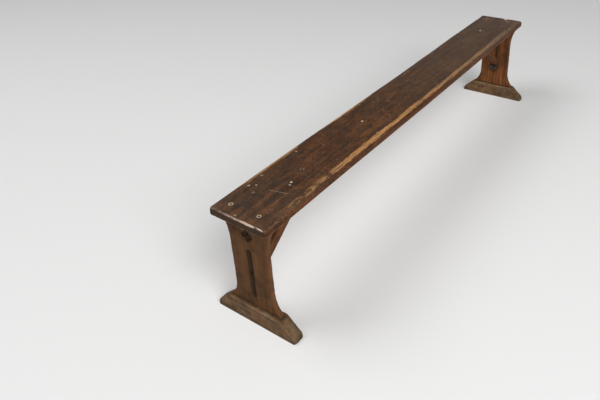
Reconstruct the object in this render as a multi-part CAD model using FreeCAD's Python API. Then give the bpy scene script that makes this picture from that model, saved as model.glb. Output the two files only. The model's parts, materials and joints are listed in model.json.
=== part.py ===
import FreeCAD, Part
import math
import os

# A backless church bench: one long plank seat on two shaped end panels, each with its
# own tapered foot and its own slanting brace up to the underside of the seat.
# Millimetres. X runs along the seat, Y across it, Z up. The origin is on the floor,
# under the middle of the seat. The left end is the one at negative X.

# --- Seat board ---
SEAT_LENGTH = 2182.0
SEAT_WIDTH = 234.0
SEAT_THICKNESS = 29.0
SEAT_HEIGHT = 457.0           # top of the seat above the floor
SEAT_CORNER_RADIUS = 9.0      # corners, seen from above
SEAT_NOSE_RADIUS = 7.5        # worn rounding of the upper edge
SEAT_UNDER_RADIUS = 3.0       # rounding of the lower edge

# --- Feet ---
FOOT_INSET = 22.5             # end of the seat to the outer face of the foot
FOOT_THICKNESS = 48.0
FOOT_LENGTH = 348.0
FOOT_HEIGHT = 69.0
FOOT_TOP_LENGTH = 226.0       # level part of the top, between the two slopes
FOOT_TOE_HEIGHT = 15.0        # upright face at each end
FOOT_CORNER_RADIUS = 9.0      # upright corners of the toes
FOOT_ARRIS_RADIUS = 4.0       # worn rounding along the top and the slopes

# --- End panels ---
PANEL_THICKNESS = 22.0
PANEL_WAIST = 156.0
PANEL_BASE_WIDTH = 224.0      # where it stands on the foot
PANEL_HEAD_WIDTH = 218.0      # where it meets the seat
BASE_FLARE_RADIUS = 110.0
HEAD_FLARE_RADIUS = 204.0
PANEL_ARRIS_RADIUS = 1.5
SLOT_WIDTH = 20.0
CARVING_DEPTH = 8.0           # how far the slot and the quatrefoil are sunk
SLOT_ABOVE_FOOT = 39.0        # top of the foot to the lower end of the slot
SLOT_BELOW_SEAT = 116.0       # underside of the seat to the upper end of the slot
QUATREFOIL_BELOW_SEAT = 61.0  # underside of the seat to the middle of the quatrefoil
LOBE_DIAMETER = 19.0           # the lobes run into each other round a boss left in their middle
LOBE_OFFSET = 13.0            # middle of the quatrefoil to the middle of a lobe

# --- Joints between panel, seat and foot ---
HOUSING_DEPTH = 6.0           # trench under the seat that takes the panel's head
TENON_THICKNESS = 14.0
TENON_WIDTH = 46.0
TENON_SPACING = 96.0          # middle to middle of a panel's two tenons
TENON_RECESS = 1.0            # tenon end above the sole of the foot
WEDGE_WIDTH = 5.0             # at its thick end
WEDGE_LENGTH = 36.0
JOINT_CLEARANCE = 0.2         # each cheek of a housing, mortise or slot

# --- Braces and their stop blocks ---
BRACE_WIDTH = 39.0
BRACE_DEPTH = 33.0            # square across the slope
BRACE_DROP = 240.0            # underside of the seat to the brace's toe
BRACE_REACH = 314.0           # panel to the far end of the brace, along the seat
BRACE_TOE_CUT = 6.0           # height of the level cut that rests on the stop block
STUB_LENGTH = 8.0             # stub tenon of the brace, in a mortise through the slot's floor
STUB_WIDTH = 14.6
STUB_HEIGHT = 16.0
STUB_RISE = 4.0               # toe cut to the lower cheek of the stub tenon
STOP_WIDTH = 47.0
STOP_HEIGHT = 34.0
STOP_DEPTH = 14.0
STOP_CHAMFER = 3.0

# --- Screws, plugs and nails ---
SCREW_SHANK = 5.0
SCREW_HEAD = 10.0
SCREW_HEAD_HEIGHT = 3.0
SCREW_POINT = 8.0
SCREW_SLOT_WIDTH = 1.4
SCREW_SLOT_DEPTH = 1.5
SEAT_SCREW_LENGTH = 70.0
SEAT_SCREW_BACK_Y = 67.0      # the two seat screws were bored by eye
SEAT_SCREW_FRONT_Y = -52.0
SEAT_SCREW_INBOARD = 4.0      # middle of the panel to the screws
BRACE_SCREW_LENGTH = 44.0
BRACE_SCREW_INBOARD = 14.0    # heel of the brace's upper end to its screw
PLUG_DIAMETER = 16.0
PLUG_BORE_DEPTH = 10.0
PLUG_SUNK = 0.7               # plug top below the surface of the seat
NAIL_SHANK = 3.2
NAIL_HEAD = 6.4
NAIL_HEAD_THICKNESS = 1.4
NAIL_POINT = 5.0
NAIL_BITE = 16.0              # depth that a nail enters the panel
BRACE_NAIL_SPACING = 27.0     # the nails pass each side of the stub tenon
BRACE_NAIL_RISE = 18.0        # toe cut to the nails
BRACE_NAIL_COVER = 24.0       # panel face to the head of a brace nail
STOP_NAIL_SPACING = 31.0
FASTENER_CLEARANCE = 0.15     # round a shank, a head or a plug

# --- Places that follow from the sizes above ---
UNDERSIDE = SEAT_HEIGHT - SEAT_THICKNESS
PANEL_X = -(SEAT_LENGTH / 2 - FOOT_INSET - FOOT_THICKNESS / 2)
OUTER_FACE_X = PANEL_X - PANEL_THICKNESS / 2
INNER_FACE_X = PANEL_X + PANEL_THICKNESS / 2
SLOT_BOTTOM = FOOT_HEIGHT + SLOT_ABOVE_FOOT
SLOT_TOP = UNDERSIDE - SLOT_BELOW_SEAT
BRACE_SLOPE = BRACE_DROP / BRACE_REACH
BRACE_UPRIGHT_DEPTH = BRACE_DEPTH * math.hypot(1.0, BRACE_SLOPE)
BRACE_TOE_Z = UNDERSIDE - BRACE_DROP
BRACE_REST_Z = BRACE_TOE_Z + BRACE_TOE_CUT
BRACE_HEEL_Z = BRACE_TOE_Z + BRACE_UPRIGHT_DEPTH
BRACE_TOP_HEEL_X = INNER_FACE_X + (UNDERSIDE - BRACE_HEEL_Z) / BRACE_SLOPE
BRACE_NAIL_Z = BRACE_REST_Z + BRACE_NAIL_RISE
STOP_BOTTOM = BRACE_REST_Z - STOP_HEIGHT
STOP_NAIL_Z = STOP_BOTTOM + STOP_HEIGHT / 2
SCREW_TOP = SEAT_HEIGHT - PLUG_BORE_DEPTH
SEAT_SCREW_X = PANEL_X + SEAT_SCREW_INBOARD
BRACE_SCREW_X = BRACE_TOP_HEEL_X + BRACE_SCREW_INBOARD
SEAT_SCREW_YS = (SEAT_SCREW_BACK_Y, SEAT_SCREW_FRONT_Y)

Vector = FreeCAD.Vector
X_AXIS = Vector(1, 0, 0)
Y_AXIS = Vector(0, 1, 0)
Z_AXIS = Vector(0, 0, 1)
CENTRE = Vector(0, 0, 0)


def block(x, y, low, size_x, size_y, height):
    """A box centred on x and y that stands on the level low."""
    corner = Vector(x - size_x / 2, y - size_y / 2, low)
    return Part.makeBox(size_x, size_y, height, corner)


def slab(points, along, thickness):
    """A prism: a closed outline of points, pushed both ways along an axis."""
    face = Part.Face(Part.makePolygon(points + [points[0]]))
    face.translate(along * (-thickness / 2))
    return face.extrude(along * thickness)


def edges_where(shape, test):
    """The edges of a shape whose two end points pass a test."""
    return [edge for edge in shape.Edges
            if all(test(vertex.Point) for vertex in edge.Vertexes)]


def upright_edges(shape):
    """The edges of a shape that run parallel to Z."""
    found = []
    for edge in shape.Edges:
        first, last = edge.Vertexes[0].Point, edge.Vertexes[-1].Point
        if math.hypot(first.x - last.x, first.y - last.y) < 1e-6 and first != last:
            found.append(edge)
    return found


def mirrored(shape):
    """The same piece at the other end of the bench."""
    return shape.mirror(CENTRE, X_AXIS)


# --- Fasteners, made pointing down with the top of the head at the centre ---

def screw(length):
    """A slotted countersunk wood screw."""
    body_end = length - SCREW_POINT
    head = Part.makeCone(SCREW_HEAD / 2, SCREW_SHANK / 2, SCREW_HEAD_HEIGHT, CENTRE, -Z_AXIS)
    shank_start = Vector(0, 0, -SCREW_HEAD_HEIGHT)
    shank = Part.makeCylinder(SCREW_SHANK / 2, body_end - SCREW_HEAD_HEIGHT, shank_start, -Z_AXIS)
    point = Part.makeCone(SCREW_SHANK / 2, 0, SCREW_POINT, Vector(0, 0, -body_end), -Z_AXIS)
    driver_slot = block(0, 0, -SCREW_SLOT_DEPTH, SCREW_HEAD, SCREW_SLOT_WIDTH, SCREW_SLOT_DEPTH)
    return head.fuse([shank, point]).cut(driver_slot).removeSplitter()


def screw_bore(length):
    """The hole for a screw: a sink for its head, then clearance for its shank."""
    sink = Part.makeCone(SCREW_HEAD / 2 + FASTENER_CLEARANCE,
                         SCREW_SHANK / 2 + FASTENER_CLEARANCE,
                         SCREW_HEAD_HEIGHT, CENTRE, -Z_AXIS)
    hole = Part.makeCylinder(SCREW_SHANK / 2 + FASTENER_CLEARANCE, length, CENTRE, -Z_AXIS)
    return sink.fuse(hole)


def nail(length):
    """A flat-headed nail."""
    head = Part.makeCylinder(NAIL_HEAD / 2, NAIL_HEAD_THICKNESS, CENTRE, -Z_AXIS)
    shank = Part.makeCylinder(NAIL_SHANK / 2, length - NAIL_POINT, CENTRE, -Z_AXIS)
    point_start = Vector(0, 0, NAIL_POINT - length)
    point = Part.makeCone(NAIL_SHANK / 2, 0, NAIL_POINT, point_start, -Z_AXIS)
    return head.fuse([shank, point]).removeSplitter()


def nail_bore(length):
    """The hole that a nail's shank makes."""
    return Part.makeCylinder(NAIL_SHANK / 2 + FASTENER_CLEARANCE, length, CENTRE, -Z_AXIS)


def screw_at(shape, x, y):
    """A screw, or its bore, standing under a plug at x and y."""
    return shape.translated(Vector(x, y, SCREW_TOP))


def driven_out(shape, head_x, y, z):
    """A nail, or its bore, laid level with its point towards the end of the bench."""
    laid = shape.rotated(CENTRE, Y_AXIS, 90)
    return laid.translated(Vector(head_x, y, z))


def seat_screw_places():
    """The x and y of each screw through the seat at the left end, with its length."""
    places = [(SEAT_SCREW_X, y, SEAT_SCREW_LENGTH) for y in SEAT_SCREW_YS]
    return places + [(BRACE_SCREW_X, 0.0, BRACE_SCREW_LENGTH)]


def brace_nail_places():
    """Head x, y and z of each nail that holds the toe of the left brace."""
    return [(INNER_FACE_X + BRACE_NAIL_COVER, side * BRACE_NAIL_SPACING / 2, BRACE_NAIL_Z)
            for side in (-1, 1)]


def stop_nail_places():
    """Head x, y and z of each nail through the left stop block."""
    head_x = INNER_FACE_X + STOP_DEPTH + NAIL_HEAD_THICKNESS
    return [(head_x, side * STOP_NAIL_SPACING / 2, STOP_NAIL_Z) for side in (-1, 1)]


BRACE_NAIL_LENGTH = BRACE_NAIL_COVER + NAIL_BITE
STOP_NAIL_LENGTH = STOP_DEPTH + NAIL_HEAD_THICKNESS + NAIL_BITE


# --- Wooden pieces of the left end ---

def tenon_ys():
    """The middle of each of the panel's two tenons."""
    return (-TENON_SPACING / 2, TENON_SPACING / 2)


def foot():
    """The foot: a level top with a slope down to each toe, and two through mortises."""
    half, flat = FOOT_LENGTH / 2, FOOT_TOP_LENGTH / 2
    outline = [Vector(PANEL_X, y, z) for y, z in (
        (-half, 0), (half, 0), (half, FOOT_TOE_HEIGHT), (flat, FOOT_HEIGHT),
        (-flat, FOOT_HEIGHT), (-half, FOOT_TOE_HEIGHT))]
    body = slab(outline, X_AXIS, FOOT_THICKNESS)
    body = body.makeFillet(FOOT_CORNER_RADIUS, upright_edges(body))
    outer_x = PANEL_X - FOOT_THICKNESS / 2
    inner_x = PANEL_X + FOOT_THICKNESS / 2
    tops = edges_where(body, lambda p: min(abs(p.x - outer_x), abs(p.x - inner_x)) < 1e-6
                       and p.z > FOOT_TOE_HEIGHT - 1e-6)
    body = body.makeFillet(FOOT_ARRIS_RADIUS, tops)
    for y in tenon_ys():
        mortise = block(PANEL_X, y, 0, TENON_THICKNESS + 2 * JOINT_CLEARANCE,
                        TENON_WIDTH + 2 * JOINT_CLEARANCE, FOOT_HEIGHT)
        body = body.cut(mortise)
    return body


def wedge(y):
    """The wedge that spreads one tenon, driven up from the sole of the foot."""
    low = TENON_RECESS
    outline = [Vector(PANEL_X, y - WEDGE_WIDTH / 2, low), Vector(PANEL_X, y + WEDGE_WIDTH / 2, low),
               Vector(PANEL_X, y, low + WEDGE_LENGTH)]
    return slab(outline, X_AXIS, TENON_THICKNESS)


def flare_height(radius, spread):
    """Height that a hollow arc takes to turn from upright out to a given spread."""
    return math.sqrt(radius ** 2 - (radius - spread) ** 2)


def flare(waist, spread, radius, end_z, way, side):
    """The hollow arc from the waist to the level end_z, above (1) or below (-1) it."""
    height = flare_height(radius, spread)
    spring_z = end_z - way * height
    turn = math.asin(height / radius) / 2
    middle = Vector(PANEL_X, side * (waist + radius * (1 - math.cos(turn))),
                    spring_z + way * radius * math.sin(turn))
    return Part.Arc(Vector(PANEL_X, side * waist, spring_z), middle,
                    Vector(PANEL_X, side * (waist + spread), end_z)).toShape()


def panel_outline():
    """The panel's silhouette as a closed wire: waisted sides, flared base and head."""
    waist = PANEL_WAIST / 2
    base_spread = PANEL_BASE_WIDTH / 2 - waist
    head_spread = PANEL_HEAD_WIDTH / 2 - waist
    head_z = UNDERSIDE
    top_z = UNDERSIDE + HOUSING_DEPTH
    edges = []
    for side in (1, -1):
        base_arc = flare(waist, base_spread, BASE_FLARE_RADIUS, FOOT_HEIGHT, -1, side)
        head_arc = flare(waist, head_spread, HEAD_FLARE_RADIUS, head_z, 1, side)
        base_spring = FOOT_HEIGHT + flare_height(BASE_FLARE_RADIUS, base_spread)
        head_spring = head_z - flare_height(HEAD_FLARE_RADIUS, head_spread)
        straight = Part.makeLine(Vector(PANEL_X, side * waist, base_spring),
                                 Vector(PANEL_X, side * waist, head_spring))
        cheek = Part.makeLine(Vector(PANEL_X, side * PANEL_HEAD_WIDTH / 2, head_z),
                              Vector(PANEL_X, side * PANEL_HEAD_WIDTH / 2, top_z))
        edges += [base_arc, straight, head_arc, cheek]
    for half, level in ((PANEL_BASE_WIDTH / 2, FOOT_HEIGHT), (PANEL_HEAD_WIDTH / 2, top_z)):
        edges.append(Part.makeLine(Vector(PANEL_X, -half, level), Vector(PANEL_X, half, level)))
    return Part.Wire(Part.__sortEdges__(edges))


def sunk_bore(radius, y, z):
    """The cutter for a flat-bottomed bore, sunk in the panel's outer face."""
    start = Vector(OUTER_FACE_X - CARVING_DEPTH, y, z)
    return Part.makeCylinder(radius, 2 * CARVING_DEPTH, start, X_AXIS)


def slot_cutter():
    """The sunk upright slot: bored at each end and cut out between the bores."""
    radius = SLOT_WIDTH / 2
    low, high = SLOT_BOTTOM + radius, SLOT_TOP - radius
    middle = block(OUTER_FACE_X, 0, low, 2 * CARVING_DEPTH, SLOT_WIDTH, high - low)
    return middle.fuse([sunk_bore(radius, 0, z) for z in (low, high)])


def quatrefoil_cutter():
    """The sunk quatrefoil: four bored lobes that run into each other round a small boss."""
    centre_z = UNDERSIDE - QUATREFOIL_BELOW_SEAT
    lobes = []
    for quarter in range(4):
        angle = math.radians(90 * quarter)
        lobes.append(sunk_bore(LOBE_DIAMETER / 2, LOBE_OFFSET * math.cos(angle),
                               centre_z + LOBE_OFFSET * math.sin(angle)))
    return lobes[0].fuse(lobes[1:])


def stub_mortise_cutter():
    """The mortise for the brace's stub tenon, through the floor of the slot."""
    return block(PANEL_X, 0, BRACE_REST_Z + STUB_RISE - JOINT_CLEARANCE, PANEL_THICKNESS,
                 STUB_WIDTH + 2 * JOINT_CLEARANCE, STUB_HEIGHT + 2 * JOINT_CLEARANCE)


def end_panel():
    """The end panel with its tenons, mortise, sunk carving and fastener holes."""
    board = Part.Face(panel_outline())
    board.translate(X_AXIS * (-PANEL_THICKNESS / 2))
    board = board.extrude(X_AXIS * PANEL_THICKNESS)
    half = PANEL_THICKNESS / 2
    arrises = edges_where(board, lambda p: abs(abs(p.x - PANEL_X) - half) < 1e-6
                          and FOOT_HEIGHT - 1e-6 < p.z < UNDERSIDE + 1e-6)
    arrises = [edge for edge in arrises if edge.BoundBox.ZLength > 1e-6]
    board = board.makeFillet(PANEL_ARRIS_RADIUS, arrises)
    board = board.cut([slot_cutter(), quatrefoil_cutter(), stub_mortise_cutter()])
    for y in tenon_ys():
        tenon = block(PANEL_X, y, TENON_RECESS, TENON_THICKNESS, TENON_WIDTH,
                      FOOT_HEIGHT - TENON_RECESS)
        board = board.fuse(tenon).cut(wedge(y))
    for x, y, length in seat_screw_places()[:-1]:
        board = board.cut(screw_at(screw_bore(length), x, y))
    for head_x, y, z in brace_nail_places():
        board = board.cut(driven_out(nail_bore(BRACE_NAIL_LENGTH), head_x, y, z))
    for head_x, y, z in stop_nail_places():
        board = board.cut(driven_out(nail_bore(STOP_NAIL_LENGTH), head_x, y, z))
    return board.removeSplitter()


def brace():
    """The brace: let into the panel by a stub tenon, rising to the underside of the seat."""
    toe_cut_run = BRACE_TOE_CUT / BRACE_SLOPE
    outline = [Vector(x, 0, z) for x, z in (
        (INNER_FACE_X, BRACE_REST_Z), (INNER_FACE_X + toe_cut_run, BRACE_REST_Z),
        (INNER_FACE_X + BRACE_REACH, UNDERSIDE), (BRACE_TOP_HEEL_X, UNDERSIDE),
        (INNER_FACE_X, BRACE_HEEL_Z))]
    bar = slab(outline, Y_AXIS, BRACE_WIDTH)
    stub = block(INNER_FACE_X - STUB_LENGTH / 2, 0, BRACE_REST_Z + STUB_RISE, STUB_LENGTH,
                 STUB_WIDTH, STUB_HEIGHT)
    bar = bar.fuse(stub)
    bar = bar.cut(screw_at(screw_bore(BRACE_SCREW_LENGTH), BRACE_SCREW_X, 0))
    for head_x, y, z in brace_nail_places():
        access = Part.makeCylinder(NAIL_HEAD / 2 + FASTENER_CLEARANCE, BRACE_REACH,
                                   Vector(head_x - NAIL_HEAD_THICKNESS, y, z), X_AXIS)
        bar = bar.cut([driven_out(nail_bore(BRACE_NAIL_LENGTH), head_x, y, z), access])
    return bar.removeSplitter()


def brace_stop():
    """The block that the brace's toe rests on, nailed to the inner face of the panel."""
    outer_x = INNER_FACE_X + STOP_DEPTH
    body = block(INNER_FACE_X + STOP_DEPTH / 2, 0, STOP_BOTTOM, STOP_DEPTH, STOP_WIDTH,
                 STOP_HEIGHT)
    rim = edges_where(body, lambda p: abs(p.x - outer_x) < 1e-6)
    body = body.makeChamfer(STOP_CHAMFER, rim)
    for head_x, y, z in stop_nail_places():
        body = body.cut(driven_out(nail_bore(STOP_NAIL_LENGTH), head_x, y, z))
    return body


# --- Seat ---

def plug(x, y):
    """The wooden plug that hides one screw."""
    start = Vector(x, y, SCREW_TOP)
    return Part.makeCylinder(PLUG_DIAMETER / 2 - FASTENER_CLEARANCE,
                             PLUG_BORE_DEPTH - PLUG_SUNK, start, Z_AXIS)


def seat_cutters():
    """What is taken out of the seat at the left end: housing, plug bores, screw holes."""
    housing = block(PANEL_X, 0, UNDERSIDE, PANEL_THICKNESS + 2 * JOINT_CLEARANCE,
                    PANEL_HEAD_WIDTH + 2 * JOINT_CLEARANCE, HOUSING_DEPTH)
    cutters = [housing]
    for x, y, length in seat_screw_places():
        cutters.append(Part.makeCylinder(PLUG_DIAMETER / 2, PLUG_BORE_DEPTH,
                                         Vector(x, y, SCREW_TOP), Z_AXIS))
        cutters.append(screw_at(screw_bore(length), x, y))
    return cutters


def seat_board():
    """The seat: one plank with rounded corners and a worn, rounded upper edge."""
    plank = block(0, 0, UNDERSIDE, SEAT_LENGTH, SEAT_WIDTH, SEAT_THICKNESS)
    plank = plank.makeFillet(SEAT_CORNER_RADIUS, upright_edges(plank))
    top_rim = edges_where(plank, lambda p: abs(p.z - SEAT_HEIGHT) < 1e-6)
    plank = plank.makeFillet(SEAT_NOSE_RADIUS, top_rim)
    low_rim = edges_where(plank, lambda p: abs(p.z - UNDERSIDE) < 1e-6)
    plank = plank.makeFillet(SEAT_UNDER_RADIUS, low_rim)
    for cutter in seat_cutters():
        plank = plank.cut([cutter, mirrored(cutter)])
    return plank


def left_end_pieces():
    """Every piece of the left end, by the name it has without its side."""
    seat_screws = [screw_at(screw(length), x, y) for x, y, length in seat_screw_places()]
    plugs = [plug(x, y) for x, y, length in seat_screw_places()]
    brace_nails = [driven_out(nail(BRACE_NAIL_LENGTH), *place) for place in brace_nail_places()]
    stop_nails = [driven_out(nail(STOP_NAIL_LENGTH), *place) for place in stop_nail_places()]
    return {
        "foot": foot(),
        "end_panel": end_panel(),
        "tenon_wedges": Part.makeCompound([wedge(y) for y in tenon_ys()]),
        "brace": brace(),
        "brace_stop": brace_stop(),
        "seat_screws": Part.makeCompound(seat_screws[:-1]),
        "seat_plugs": Part.makeCompound(plugs[:-1]),
        "brace_screw": seat_screws[-1],
        "brace_plug": plugs[-1],
        "brace_nails": Part.makeCompound(brace_nails),
        "stop_nails": Part.makeCompound(stop_nails),
    }


def main():
    """Write one STEP file for each piece of the bench."""
    os.makedirs("parts", exist_ok=True)
    seat_board().exportStep("parts/seat_board.step")
    for name, shape in left_end_pieces().items():
        shape.exportStep(f"parts/left_{name}.step")
        mirrored(shape).exportStep(f"parts/right_{name}.step")


main()
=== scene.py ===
"""The finished look of a backless church bench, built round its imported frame.

The bench is one rigid body: a plank seat on two shaped end panels, each with a tapered
foot, a slanting brace and a small stop block under the brace's toe. All lengths are in
metres, in the frame's own axes: X along the seat, Y across it, Z up.
"""
from __future__ import annotations

import json
import logging
import math
from dataclasses import dataclass, field
from enum import Enum
from functools import reduce
from typing import Any, Sequence

import bmesh
import bpy
import numpy as np
from mathutils import Matrix, Vector, noise

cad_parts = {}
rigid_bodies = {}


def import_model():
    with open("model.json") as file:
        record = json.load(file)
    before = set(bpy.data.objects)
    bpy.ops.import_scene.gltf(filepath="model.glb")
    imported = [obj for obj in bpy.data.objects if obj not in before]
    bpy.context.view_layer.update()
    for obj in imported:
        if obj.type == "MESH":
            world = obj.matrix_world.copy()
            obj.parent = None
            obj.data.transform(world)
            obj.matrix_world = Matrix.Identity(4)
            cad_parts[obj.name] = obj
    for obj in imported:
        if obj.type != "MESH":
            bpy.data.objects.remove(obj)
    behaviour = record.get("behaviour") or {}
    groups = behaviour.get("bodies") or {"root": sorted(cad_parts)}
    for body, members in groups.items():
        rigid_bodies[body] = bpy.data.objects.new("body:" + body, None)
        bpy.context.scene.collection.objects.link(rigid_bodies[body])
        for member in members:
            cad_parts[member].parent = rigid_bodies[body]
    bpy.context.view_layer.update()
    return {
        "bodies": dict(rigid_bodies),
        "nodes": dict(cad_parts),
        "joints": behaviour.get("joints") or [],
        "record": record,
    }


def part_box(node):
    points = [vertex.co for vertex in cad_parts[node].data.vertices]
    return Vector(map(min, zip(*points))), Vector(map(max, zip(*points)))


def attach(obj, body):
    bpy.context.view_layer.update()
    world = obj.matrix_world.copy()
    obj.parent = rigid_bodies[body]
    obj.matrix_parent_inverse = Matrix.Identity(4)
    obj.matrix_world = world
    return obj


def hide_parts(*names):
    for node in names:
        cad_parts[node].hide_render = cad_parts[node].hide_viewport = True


LOG = logging.getLogger("church_bench")
BODY = "root"
MM = 0.001
TOE_FADE = 15 * MM
SOLE_FADE = 12 * MM
NOWHERE = 10.0            # a place so far off that nothing happens there
MIDDLE = (0.3, 0.7)       # most of a noise lies between these

Colour = tuple[float, float, float]
Place = tuple[float, float, float]
Stops = tuple[tuple[float, float], ...]


class End(Enum):
    """The two ends of the bench, with the sign of X at each."""

    LEFT = -1
    RIGHT = 1

    def node(self, piece: str) -> str:
        """The frame's name for a piece at this end."""
        return f"{self.name.lower()}_{piece}"


class Grain(Enum):
    """Which way the fibres of a piece run, as a turn that lays X along them."""

    ALONG_SEAT = (0.0, 0.0, 0.0)
    ACROSS_SEAT = (0.0, 0.0, math.radians(90))
    UPRIGHT = (0.0, math.radians(90), 0.0)
    LEFT_BRACE = (0.0, math.radians(37.4), 0.0)
    RIGHT_BRACE = (0.0, math.radians(-37.4), 0.0)


# ---------------------------------------------------------------------------
# Writers for node trees
# ---------------------------------------------------------------------------


class NodeWriter:
    """Adds nodes to a tree and joins them."""

    def __init__(self, tree: bpy.types.NodeTree) -> None:
        """Write into an empty tree."""
        self.tree = tree
        self.tree.nodes.clear()

    def feed(self, socket: bpy.types.NodeSocket, value: Any) -> None:
        """Join an output to a socket, or set the socket's own value.

        Args:
            socket: the input to feed.
            value: an output socket, or a plain value.
        """
        if isinstance(value, bpy.types.NodeSocket):
            self.tree.links.new(value, socket)
        else:
            socket.default_value = value

    def add(self, kind: str, inputs: dict[Any, Any] | None = None, **settings: Any) -> bpy.types.Node:
        """Add one node.

        Args:
            kind: Blender's name for the node type.
            inputs: what feeds its inputs, by name or number.
            settings: the node's own properties.

        Returns:
            The new node.
        """
        node = self.tree.nodes.new(kind)
        for name, value in settings.items():
            setattr(node, name, value)
        for key, value in (inputs or {}).items():
            self.feed(node.inputs[key], value)
        return node

    def math(self, operation: str, first: Any, second: Any = 0.0) -> Any:
        """One step of arithmetic on two numbers.

        Args:
            operation: Blender's name for the operation.
            first: the first number or output.
            second: the second number or output.

        Returns:
            The output that holds the result.
        """
        return self.add("ShaderNodeMath", {0: first, 1: second}, operation=operation).outputs[0]

    def times(self, *values: Any) -> Any:
        """The product of several numbers."""
        return reduce(lambda total, value: self.math("MULTIPLY", total, value), values)

    def plus(self, *values: Any) -> Any:
        """The sum of several numbers."""
        return reduce(lambda total, value: self.math("ADD", total, value), values)

    def most(self, *values: Any) -> Any:
        """The largest of several numbers."""
        return reduce(lambda total, value: self.math("MAXIMUM", total, value), values)

    def minus(self, first: Any, second: Any) -> Any:
        """The first number less the second."""
        return self.math("SUBTRACT", first, second)

    def over(self, first: Any, second: Any) -> Any:
        """The first number divided by the second."""
        return self.math("DIVIDE", first, second)

    def size_of(self, value: Any) -> Any:
        """A number without its sign."""
        return self.math("ABSOLUTE", value)

    def fade(self, value: Any, start: float, end: float, low: float = 0.0, high: float = 1.0) -> Any:
        """A smooth step of value, from low at start to high at end.

        Args:
            value: the number to follow.
            start: where the result is low.
            end: where the result is high. It may be below start.
            low: the result at start.
            high: the result at end.

        Returns:
            The output that holds the result.
        """
        inputs = {"Value": value, "From Min": start, "From Max": end, "To Min": low, "To Max": high}
        if end < start:
            inputs.update({"From Min": end, "From Max": start, "To Min": high, "To Max": low})
        node = self.add("ShaderNodeMapRange", inputs, interpolation_type="SMOOTHSTEP")
        return node.outputs[0]


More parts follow.
